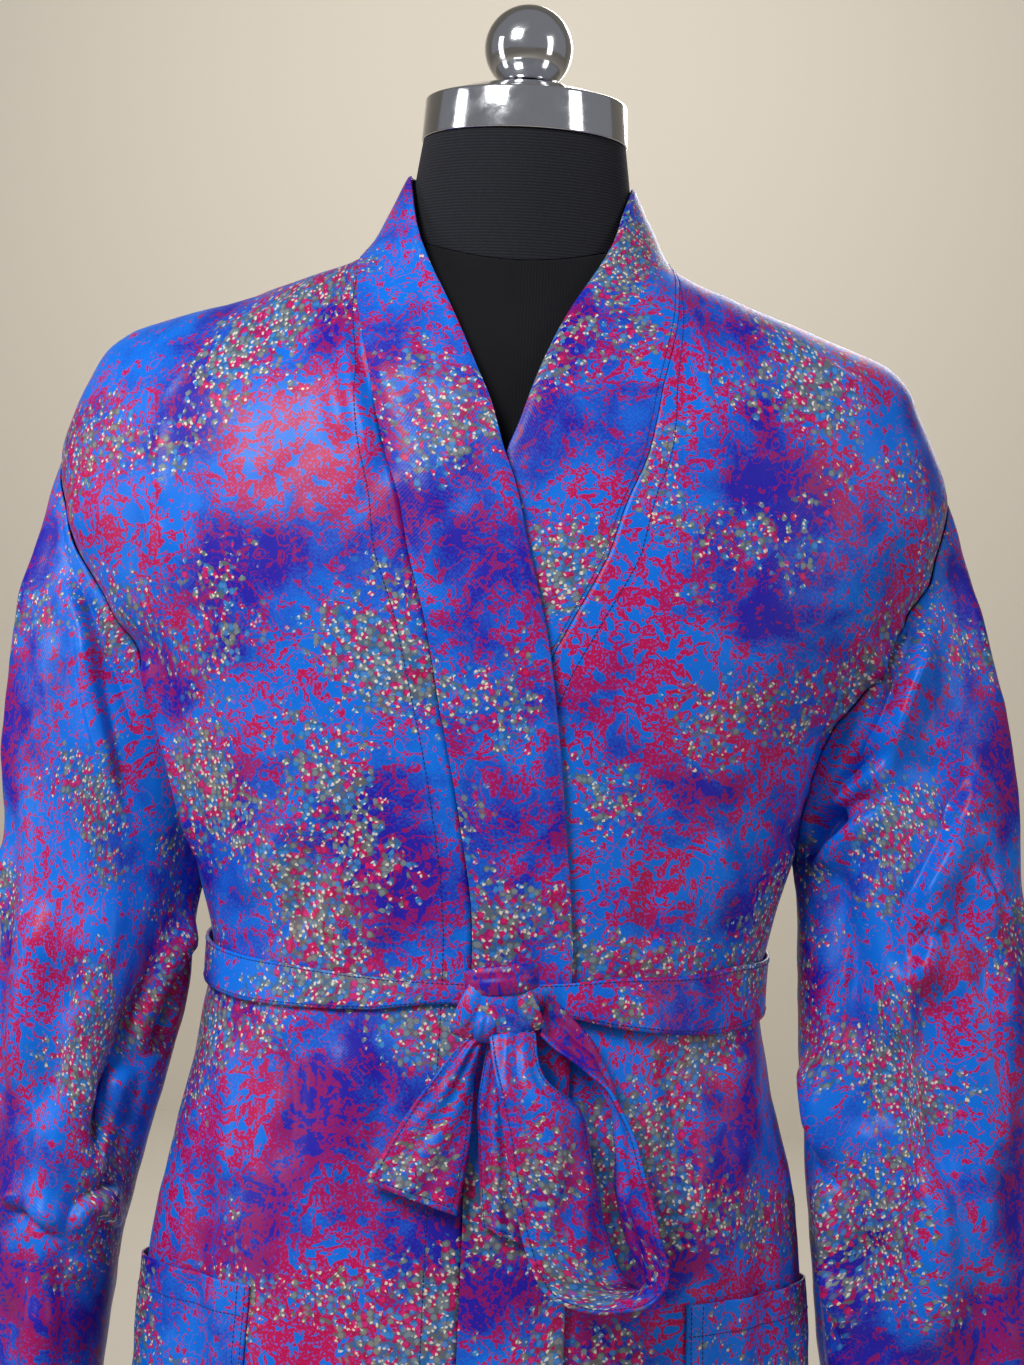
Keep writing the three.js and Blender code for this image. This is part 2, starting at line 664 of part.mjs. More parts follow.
function sashRing() {
  const stations = 44;
  const across = 2;
  const places = Array.from({ length: stations }, (_, station) => {
    const angle = (station * 360) / stations;
    const at = rowAt(sash, "at", angle);
    const [width, middle] = [sample(sash, "width", at), sample(sash, "mid", at)];
    return Array.from({ length: across + 1 }, (_, line) => ({
      angle: angle > 180 ? angle - 360 : angle,
      level: levelAt(angle, middle + width * (0.5 - line / across)),
      line,
    }));
  });
  const lay = (extra) => Array.from({ length: across + 1 }, (_, line) =>
    places.map((row) => {
      const { level, angle } = row[line];
      const crown = line === 1 ? sashCrown : 0;
      return onBody(level, angle, outside(level, angle) + sashGap + crown + extra);
    }));
  return shell(lay(0), lay(sashWall), true);
}

// A point in front of the robe at a width and height.
function inFront(x, z, out) {
  const { level, angle } = locate(x, z);
  const surface = onBody(level, angle, outside(level, angle));
  return new THREE.Vector3(x, surface.y - out, z);
}

// A ribbon between two edge lines, with a ridge along it.
function ribbon(rows, stations, thick) {
  const edge = (at, side) => inFront(
    sample(rows, side + "X", at), sample(rows, side + "Z", at), sample(rows, side + "Out", at));
  const lines = Array.from({ length: stations + 1 }, (_, station) => {
    const at = (station / stations) * (rows.length - 1);
    return { a: edge(at, "a"), b: edge(at, "b"), at };
  });
  const grid = lines.map(({ a, b, at }, station) => {
    const before = lines[Math.max(station - 1, 0)];
    const after = lines[Math.min(station + 1, stations)];
    const along = after.a.clone().add(after.b).sub(before.a).sub(before.b);
    const normal = along.cross(b.clone().sub(a)).normalize();
    const ridge = a.clone().lerp(b, sample(rows, "ridge", at))
      .addScaledVector(normal, sample(rows, "rise", at));
    return [a, ridge, b].map((point) => ({ point, normal }));
  });
  const layer = (extra) => grid.map((row) => row.map(({ point, normal }) =>
    point.clone().addScaledVector(normal, extra)));
  return shell(layer(0), layer(thick));
}

// The knot: a rounded lump with the grooves of the wraps that cross it.
function knotGeometry() {
  const back = inFront(knot.x, knot.z, sashGap + sashCrown + sashWall + knotSeat).y;
  const rings = 9;
  const columns = 18;
  const grid = Array.from({ length: rings + 1 }, (_, ring) => {
    const polar = radians(12 + (156 * ring) / rings);
    return Array.from({ length: columns }, (_, column) => {
      const round = radians((column * 360) / columns);
      const groove = 1 - 0.09 * Math.max(0, Math.cos(3 * round + 4 * polar));
      return new THREE.Vector3(
        knot.x + knot.halfWidth * groove * Math.sin(polar) * Math.sin(round),
        back - knot.halfDepth - knot.halfDepth * groove * Math.sin(polar) * Math.cos(round),
        knot.z + knot.halfHeight * groove * Math.cos(polar),
      );
    });
  });
  return lofted(grid);
}

function formSolid(rows, levels) {
  return lofted(levels.map((level) => Array.from({ length: formColumns }, (_, column) =>
    ringPoint(rows, level, (column * 360) / formColumns))));
}

// A turned piece: profile is a list of [radius, height] from the axis back to the axis.
function turned(profile) {
  const points = profile.map(([radius, height]) => new THREE.Vector2(radius, height));
  return new THREE.LatheGeometry(points, turnedColumns).rotateX(Math.PI / 2);
}

function capProfile() {
  const rim = capBottom + capHeight;
  const domeRadius = 56;
  const profile = [
    [0, capBottom], [capRadius, capBottom], [capRadius - 1.4, rim - 1.5], [capRadius - 3, rim],
  ];
  for (const share of [1, 0.85, 0.7, 0.5, 0.25, 0]) {
    profile.push([domeRadius * share, rim + domeRise * (1 - share * share)]);
  }
  return profile;
}

// The ball and its short stem, down to the dome.
function ballProfile() {
  const foot = capBottom + capHeight + domeRise + 0.3;
  const steps = 12;
  const start = Math.acos((ballCentre - foot) / ballRadius);
  const profile = [[0, foot]];
  for (let step = 0; step < steps; step++) {
    const turn = lerp(Math.PI - start, 0, step / steps);
    profile.push([ballRadius * Math.sin(turn), ballCentre + ballRadius * Math.cos(turn)]);
  }
  profile.push([0, ballCentre + ballRadius]);
  return profile;
}

const silk = new THREE.MeshStandardMaterial({ color: 0x3a4fd0, roughness: 0.42, metalness: 0 });
const jersey = new THREE.MeshStandardMaterial({ color: 0x14151c, roughness: 0.9, metalness: 0 });
const polished = new THREE.MeshStandardMaterial({ color: 0xd4d6da, roughness: 0.12, metalness: 1 });
const painted = new THREE.MeshStandardMaterial({ color: 0x1c1d20, roughness: 0.5, metalness: 0.3 });

const robe = new THREE.Group();
function add(name, geometry, material) {
  const mesh = new THREE.Mesh(geometry, material);
  mesh.name = name;
  robe.add(mesh);
}

// The garment
add("back", backPanel(), silk);
add("front_left", frontPanel(leftBand, 1, leftOffset), silk);
add("front_right", frontPanel(rightBand, -1, rightOffset), silk);
add("neckband_left", neckband(leftBand, 1, leftOffset), silk);
add("neckband_right", neckband(rightBand, -1, rightOffset), silk);
add("sleeve_left", sleeve(sleeveLeft, foldsLeft, 1), silk);
add("sleeve_right", sleeve(sleeveRight, foldsRight, -1), silk);
add("pocket_left", pocket(leftBand, 1, leftOffset), silk);
add("pocket_right", pocket(rightBand, -1, rightOffset), silk);

// The sash
add("sash", sashRing(), silk);
add("knot", knotGeometry(), silk);
add("bow_loop", ribbon(bowLoop, 30, sashWall), silk);
add("tail_left", ribbon(tailLeft, 6, sashWall), silk);
add("tail_right", ribbon(tailRight, 8, sashWall), silk);

// The dress form and its stand
const formLevels = [0, 0.5, 1, 1.5, 2, 2.5, 3, 3.5, 4, 4.5, 5, 6, 7, 8, 9, 10, 11, 12, 13, 14, 15];
add("form_torso", formSolid(formRings, formLevels), jersey);
add("form_neck", formSolid(neckRings, [0, 1, 2, 3]), jersey);
add("neck_cap", turned(capProfile()), polished);
add("cap_ball", turned(ballProfile()), polished);
const plateBottom = plateTop - plateThick;
add("form_plate", turned([
  [0, plateBottom], [plateRadius - 2, plateBottom], [plateRadius, plateBottom + 2],
  [plateRadius, plateTop], [0, plateTop],
]), painted);
const hubTop = baseThick + hubHeight;
add("stand_pole", turned([
  [0, hubTop + standGap], [poleRadius, hubTop + standGap],
  [poleRadius, plateBottom - standGap], [0, plateBottom - standGap],
]), polished);
add("stand_base", turned([
  [0, 0], [baseRadius - 2, 0], [baseRadius, 3], [baseRadius - 2, 9], [baseRadius - 25, baseThick - 1],
  [hubRadius + 10, baseThick], [hubRadius, baseThick + 6], [22, hubTop - 3], [20, hubTop], [0, hubTop],
]), painted);

export default robe;
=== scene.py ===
# %% [markdown]
# # A kimono robe on a dress form
#
# The real robe is soft printed satin: two fronts, a back, straight sleeves set in dropped armholes, a
# doubled band round the neck and down the fronts, two patch pockets and a sash tied in a half bow. It hangs
# on a padded jersey form with a polished cap. The CAD model holds the same pieces as plain walls. Here each
# one is made again as a fine thin sheet on the same surface, with its creases, seams and finish.
#
# All lengths below are millimetres until a mesh is made, because a maker's tape is in millimetres.

import math

import bpy
import numpy as np
from mathutils import Matrix, Vector


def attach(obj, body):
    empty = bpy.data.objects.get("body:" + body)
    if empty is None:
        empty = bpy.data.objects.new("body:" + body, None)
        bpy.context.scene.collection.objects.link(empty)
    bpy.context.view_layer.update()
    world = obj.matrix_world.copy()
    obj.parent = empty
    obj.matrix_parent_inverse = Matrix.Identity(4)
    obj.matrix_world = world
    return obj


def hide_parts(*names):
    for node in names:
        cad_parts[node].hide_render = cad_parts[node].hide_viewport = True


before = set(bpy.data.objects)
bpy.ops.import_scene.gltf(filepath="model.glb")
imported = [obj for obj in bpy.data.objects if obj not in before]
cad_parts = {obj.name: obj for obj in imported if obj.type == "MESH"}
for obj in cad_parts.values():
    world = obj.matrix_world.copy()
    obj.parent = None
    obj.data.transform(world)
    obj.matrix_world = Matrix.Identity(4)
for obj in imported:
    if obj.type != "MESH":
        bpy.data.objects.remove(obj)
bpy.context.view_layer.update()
MM = 0.001


def table(names, rows):
    """Named columns from a list of rows."""
    return dict(zip(names.split(), np.array(rows, float).T))


def sample(rows, column, position):
    """The value of a column at a fractional row, on a smooth curve through the rows."""
    values = rows[column]
    last = len(values) - 1
    at = np.clip(position, 0, last)
    low = np.minimum(np.floor(at), last - 1).astype(int)
    a, b, c, d = (values[np.clip(low + k, 0, last)] for k in (-1, 0, 1, 2))
    u = at - low
    return 0.5 * (2 * b + (c - a) * u + (2 * a - 5 * b + 4 * c - d) * u**2 + (3 * b - a - 3 * c + d) * u**3)


def row_at(rows, column, wanted):
    """The fractional row at which a rising column has a value."""
    return np.interp(wanted, rows[column], np.arange(len(rows[column])))


def smooth(value, low, high):
    """0 below low, 1 above high and an even S between them."""
    t = np.clip((value - low) / (high - low), 0, 1)
    return t * t * (3 - 2 * t)


def lerp(a, b, share):
    return a + (b - a) * share


def unit(vectors):
    """Vectors of length one."""
    return vectors / np.maximum(np.linalg.norm(vectors, axis=-1, keepdims=True), 1e-9)


# %% [markdown]
# ## The draped surface
#
# Cloth on a form could be simulated, but a simulation would not fall into the folds of the photograph.
# So the robe is drawn from rings, the way a lampshade maker works: each ring gives how far the cloth reaches
# to the right, the left, the front and the back at one level. Every panel is a patch of this one surface, so
# neighbours meet at their seams.

# %% Rings and broad folds of the body
HEM_Z = 150
# How far each ring reaches to each side, with the height at which it does so there. A square of 2 makes an
# ellipse, and a larger one a fuller ring.
BODY_RINGS = table("right rightZ left leftZ front frontZ back backZ square", [
    [65, 1525, 65, 1524, 62, 1480, 70, 1546, 2],
    [76, 1500, 76, 1500, 74, 1462, 77, 1518, 2],
    [91, 1477, 90, 1476, 90, 1440, 86, 1488, 2],
    [122, 1462, 121, 1461, 104, 1415, 99, 1460, 2],
    [171, 1443, 171, 1442, 115, 1385, 110, 1430, 2.05],
    [229, 1423, 224, 1420, 122, 1352, 117, 1396, 2.1],
    [251, 1398, 243, 1392, 126, 1322, 120, 1366, 2.15],
    [267, 1346, 260, 1343, 128, 1290, 121, 1330, 2.2],
    [250, 1295, 246, 1292, 129, 1255, 121, 1290, 2.25],
    [217, 1234, 214, 1236, 127, 1214, 119, 1234, 2.3],
    [191, 1165, 189, 1176, 122, 1158, 114, 1166, 2.3],
    [172, 1098, 177, 1128, 116, 1100, 108, 1104, 2.3],
    [164, 1058, 161, 1058, 113, 1058, 105, 1058, 2.3],
    [171, 1000, 167, 1000, 120, 1000, 114, 1000, 2.3],
    [184, 930, 182, 930, 126, 930, 125, 930, 2.3],
    [191, 860, 188, 860, 129, 860, 132, 860, 2.25],
    [196, 770, 194, 770, 131, 770, 136, 770, 2.2],
    [203, 640, 202, 640, 132, 640, 137, 640, 2.15],
    [208, 480, 208, 480, 133, 480, 138, 480, 2.1],
    [214, 310, 214, 310, 135, 310, 140, 310, 2.05],
    [220, HEM_Z, 220, HEM_Z, 137, HEM_Z, 142, HEM_Z, 2],
])
NECK_SEAM = 2
ARMHOLE_TOP = 7
ARMHOLE_FOOT = 11
HEM = 20
# A fold runs from one angle to another, from level to level, with its half width in degrees and its depth.
BODY_FOLDS = table("at to start end half deep", [
    [40, 34, 12, 20, 11, 6], [62, 60, 12, 20, 10, -6], [84, 82, 12.5, 20, 11, 8],
    [-34, -28, 12, 20, 10, 5], [-56, -52, 12, 20, 10, -7], [-78, -76, 12.5, 20, 12, 7],
    [108, 106, 12, 20, 9, -8], [128, 126, 12, 20, 10, 10], [148, 146, 11.5, 20, 9, -9],
    [168, 166, 12, 20, 11, 11], [190, 189, 11.5, 20, 9, -10], [209, 211, 12, 20, 10, 10],
    [231, 233, 12, 20, 10, -8], [251, 253, 12.5, 20, 9, 7],
    [150, 158, 7, 11.8, 9, -5], [205, 200, 7, 11.8, 9, -5], [62, 76, 7.4, 10.6, 7, -4],
    [-60, -70, 8, 11.4, 8, -3], [60, 48, 2.6, 5.6, 8, -2.5],
])
print(len(BODY_RINGS["square"]), "rings and", len(BODY_FOLDS["at"]), "broad folds")


# %% Points on the draped surface
def ring_point(rings, level, degrees):
    """A point of a ring surface; degrees run from the centre front to the wearer's left."""
    level, degrees = np.broadcast_arrays(level, degrees)
    across, ahead = np.sin(np.radians(degrees)), np.cos(np.radians(degrees))
    power = 2 / sample(rings, "square", level)
    in_front, on_right = ahead > 0, across < 0
    depth = np.where(in_front, sample(rings, "front", level), sample(rings, "back", level))
    face_z = np.where(in_front, sample(rings, "frontZ", level), sample(rings, "backZ", level))
    reach = np.where(on_right, sample(rings, "right", level), sample(rings, "left", level))
    flank_z = np.where(on_right, sample(rings, "rightZ", level), sample(rings, "leftZ", level))
    x = reach * np.sign(across) * np.abs(across) ** power
    y = depth * np.abs(ahead) ** power * np.where(in_front, -1, 1)
    return np.stack([x, y, lerp(flank_z, face_z, ahead**2)], -1)


def normal_of(surface, level, degrees, last):
    """The outward direction of a surface given as a function of level and angle."""
    step_level, step_angle = 0.03, 0.6
    low, high = np.maximum(level - step_level, 0), np.minimum(level + step_level, last)
    along = surface(high, degrees) - surface(low, degrees)
    around = surface(level, degrees + step_angle) - surface(level, degrees - step_angle)
    return unit(np.cross(along, around))


def fold_height(folds, level, degrees, last):
    """The height of a table of folds at a place."""
    level, degrees = np.broadcast_arrays(level, degrees)
    height = np.zeros(level.shape)
    for at, to, start, end, half, deep in zip(*folds.values()):
        share = (level - start) / (end - start)
        away = (degrees - lerp(at, to, share) + 180) % 360 - 180
        across = 0.5 + 0.5 * np.cos(np.pi * np.clip(away / half, -1, 1))
        fades = smooth(1 - share, 0, 0.35) if end < last else 1
        inside = (level > start) & (level <= end)
        height += np.where(inside, deep * across * smooth(share, 0, 0.45) * fades, 0)
    return height


def plain_body(level, degrees):
    return ring_point(BODY_RINGS, level, degrees)


def draped_body(level, degrees):
    height = fold_height(BODY_FOLDS, level, degrees, HEM)
    return plain_body(level, degrees) + height[..., None] * normal_of(plain_body, level, degrees, HEM)


def on_body(level, degrees, offset):
    """A point at a distance outside the draped surface."""
    level, degrees, offset = np.broadcast_arrays(level, degrees, offset)
    return draped_body(level, degrees) + offset[..., None] * normal_of(draped_body, level, degrees, HEM)


def level_at(degrees, z):
    """The level at which the body has a height, at an angle."""
    degrees, z = np.broadcast_arrays(np.asarray(degrees, float), np.asarray(z, float))
    low, high = np.zeros(z.shape), np.full(z.shape, float(HEM))
    for _ in range(40):
        middle = (low + high) / 2
        above = plain_body(middle, degrees)[..., 2] > z
        low, high = np.where(above, middle, low), np.where(above, high, middle)
    return (low + high) / 2


def locate(x, z):
    """The level and angle of the front at a width and a height."""
    x, z = np.broadcast_arrays(np.asarray(x, float), np.asarray(z, float))
    angle = np.sign(x) * 30
    for _ in range(60):
        level = level_at(angle, z)
        reach = np.where(x < 0, sample(BODY_RINGS, "right", level), sample(BODY_RINGS, "left", level))
        power = sample(BODY_RINGS, "square", level) / 2
        wanted = np.clip(np.abs(x) / reach, 0, 1) ** power
        angle = lerp(angle, np.sign(x) * np.degrees(np.arcsin(wanted)), 0.5)
    return level, angle


print("a point at the waist", on_body(12.0, 30.0, 0.8).round(1))

# %% [markdown]
# ## From a grid to a sheet
#
# Every cloth piece is a grid of points. Its creases are troughs and ridges drawn on the front as
# short curves, because that is how one sees them in the photograph. Layers that lie on each other share
# them, so no layer cuts through the next.
#
# The UV map holds the flat cloth in metres, so a pattern is drawn at its real size on every piece.

# %% Sheets of cloth
# Where each piece is cut from the printed roll, so that no two pieces show the same part of the print.
ROLL = {
    "front": (140, 900), "back": (700, 300), "neckband": (40, 1500), "sleeve": (1500, 200),
    "pocket": (300, 1900), "sash": (0, 2500), "bow": (1200, 2500), "knot": (1800, 2500), "wrap": (1850, 2400),
}


def grid_normals(points, wrap=False):
    """Outward directions of a grid whose rows run down and columns run round."""
    if wrap:
        around = np.roll(points, -1, 1) - np.roll(points, 1, 1)
    else:
        around = np.gradient(points, axis=1)
    return unit(np.cross(np.gradient(points, axis=0), around))


def grid_mesh(name, points, uv, wrap=False, flip=False):
    """A quad mesh from a grid of points in millimetres, with the flat cloth as its UV map."""
    rows, columns = points.shape[:2]
    index = np.arange(rows * columns).reshape(rows, columns)
    right = np.roll(index, -1, 1) if wrap else index[:, 1:]
    left = index if wrap else index[:, :-1]
    quads = np.stack([left[:-1], left[1:], right[1:], right[:-1]], -1).reshape(-1, 4)
    if flip:
        quads = quads[:, ::-1]
    mesh = bpy.data.meshes.new(name)
    mesh.from_pydata((points.reshape(-1, 3) * MM).tolist(), [], quads.tolist())
    flat = uv.reshape(-1, 2) * MM
    corners = flat[quads.ravel()]
    if wrap:
        span = flat[index[:, -1]] + (flat[index[:, -1]] - flat[index[:, -2]])
        ends = np.zeros((rows * columns, 2))
        ends[index[:, 0]] = span
        last = np.repeat(np.arange(len(quads)) % columns == columns - 1, 4)
        first = (quads.ravel() % columns) == 0
        corners = np.where((last & first)[:, None], ends[quads.ravel()], corners)
    layer = mesh.uv_layers.new(name="cloth")
    layer.uv.foreach_set("vector", corners.astype(np.float32).ravel())
    mesh.shade_smooth()
    piece = bpy.data.objects.new(name, mesh)
    bpy.context.scene.collection.objects.link(piece)
    return piece


def flat_cloth(points, corner=(0, 0), hung=False, bent=False):
    """How far each point lies across and along the cloth, measured on the piece itself."""
    across = np.diff(points, axis=1)
    along = np.linalg.norm(np.diff(points, axis=0), axis=2).cumsum(0)
    if hung:  # a hanging panel keeps its heights, so the print is not sheared along a slanting edge
        across = across[..., :2]
    u = np.pad(np.linalg.norm(across, axis=2).cumsum(1), ((0, 0), (1, 0)))
    v = -np.pad(along, ((1, 0), (0, 0)))
    if hung:
        middle = np.argmin(np.abs(points[-1, :, 0]))
        way = np.sign(points[-1, -1, 0] - points[-1, 0, 0])
        u = u + (points[:, middle, 0] * way - u[:, middle])[:, None]
        v = points[..., 2]
    if bent:  # a ribbon that turns is measured down its middle
        v = v[:, v.shape[1] // 2][:, None] + 0 * u
    return np.stack([corner[0] + u, corner[1] + v], -1)


def on_roll(name, side=1):
    """The corner that a piece is cut from; the left and right ones lie on either side of the middle."""
    return ROLL[name][0] * side, ROLL[name][1]


print(len(ROLL), "places on the roll of cloth")


# %% What every piece is given
def thicken(piece, thickness):
    """Gives a sheet its thickness, inwards from the face that shows."""
    solid = piece.modifiers.new("thickness", "SOLIDIFY")
    solid.thickness = thickness * MM
    solid.offset = -1
    return piece


def dress(piece, material, slot, *nodes):
    """Finishes a piece: its material, its body and the CAD nodes that it stands for."""
    piece.data.materials.append(material)
    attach(piece, "root")
    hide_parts(*nodes)
    print(piece.name, len(piece.data.polygons), "faces for", ", ".join(nodes))
    return piece


# %% Cut sizes
FLAT_SIZES = {}


def cut(piece, points, held, *rests_on, wrap=False, pieces=()):
    """Works out the size a piece is cut to, measured flat on its own surface, and keeps it in FLAT_SIZES."""
    closed = np.concatenate([points, points[:, :1]], 1) if wrap else points
    across = np.linalg.norm(np.diff(closed, axis=1), axis=2)
    along = np.linalg.norm(np.diff(closed, axis=0), axis=2)
    area = ((across[:-1] + across[1:]) / 2 * (along[:, :-1] + along[:, 1:]) / 2).sum() * MM**2
    width, length = across.sum(1).max() * MM, along.sum(0).max() * MM
    FLAT_SIZES[piece.name] = (round(width, 3), round(length, 3), round(area, 4))


# %% Stitches
STITCH_PITCH = 2.8
STITCH_LENGTH = 2.1
STITCH_HALF = 0.32  # half the thickness of the thread
STITCH_SINK = 0.1  # how deep the ends of a stitch lie in the cloth
stitch_points, stitch_faces = [], []


def sew(points, rows, columns, sign=1):
    """Sews a row of stitches along a path on a grid of cloth, given as fractional rows and columns."""
    normals = grid_normals(points) * sign
    rows, columns = (np.array(v, float) for v in np.broadcast_arrays(rows, columns))
    r0 = np.minimum(rows.astype(int), points.shape[0] - 2)
    c0 = np.minimum(columns.astype(int), points.shape[1] - 2)
    down, right = (rows - r0)[:, None], (columns - c0)[:, None]
    path, out = (lerp(lerp(grid[r0, c0], grid[r0, c0 + 1], right),
                      lerp(grid[r0 + 1, c0], grid[r0 + 1, c0 + 1], right), down)
                 for grid in (points, normals))
    walked = np.append(0, np.linalg.norm(np.diff(path, axis=0), axis=1).cumsum())
    starts = np.arange(STITCH_PITCH / 2, walked[-1] - STITCH_LENGTH, STITCH_PITCH)
    at = starts[:, None] + np.array([0, 0.5, 1]) * STITCH_LENGTH
    centre, up = (np.stack([np.interp(at, walked, v[:, k]) for k in range(3)], -1)
                  for v in (path, out))
    up = unit(up)
    side = unit(np.cross(centre[:, 2:] - centre[:, :1], up)) * STITCH_HALF
    centre = centre + up * np.array([-STITCH_SINK, 2 * STITCH_SINK, -STITCH_SINK])[None, :, None]
    rise = up * STITCH_HALF
    ring = np.stack([centre + side, centre + rise, centre - side, centre - rise], 2)
    first = len(stitch_points) * 12 + 12 * np.arange(len(starts))[:, None]
    local = [[4 * k + j, 4 * k + (j + 1) % 4, 4 * k + 4 + (j + 1) % 4, 4 * k + 4 + j]
             for k in range(2) for j in range(4)] + [[3, 2, 1, 0], [8, 9, 10, 11]]
    stitch_points.extend(ring.reshape(-1, 12, 3))
    stitch_faces.extend((first[:, :, None] + np.array(local)[None]).reshape(-1, 4).tolist())


print("stitches of", STITCH_LENGTH, "mm, one every", STITCH_PITCH, "mm")

# %% [markdown]
# ## Creases
#
# A press line is a thin sharp ridge left by folding; a soft fold is a wide trough where the cloth hangs
# slack. Each row gives a curve by its start, middle and end as seen from the front (or from behind), its
# half width, how high it stands and how sharp its crest is. A fold whose crest is -1 leans over: it drops
# steeply on the right of its path and runs out softly on the left. They are uneven on purpose.

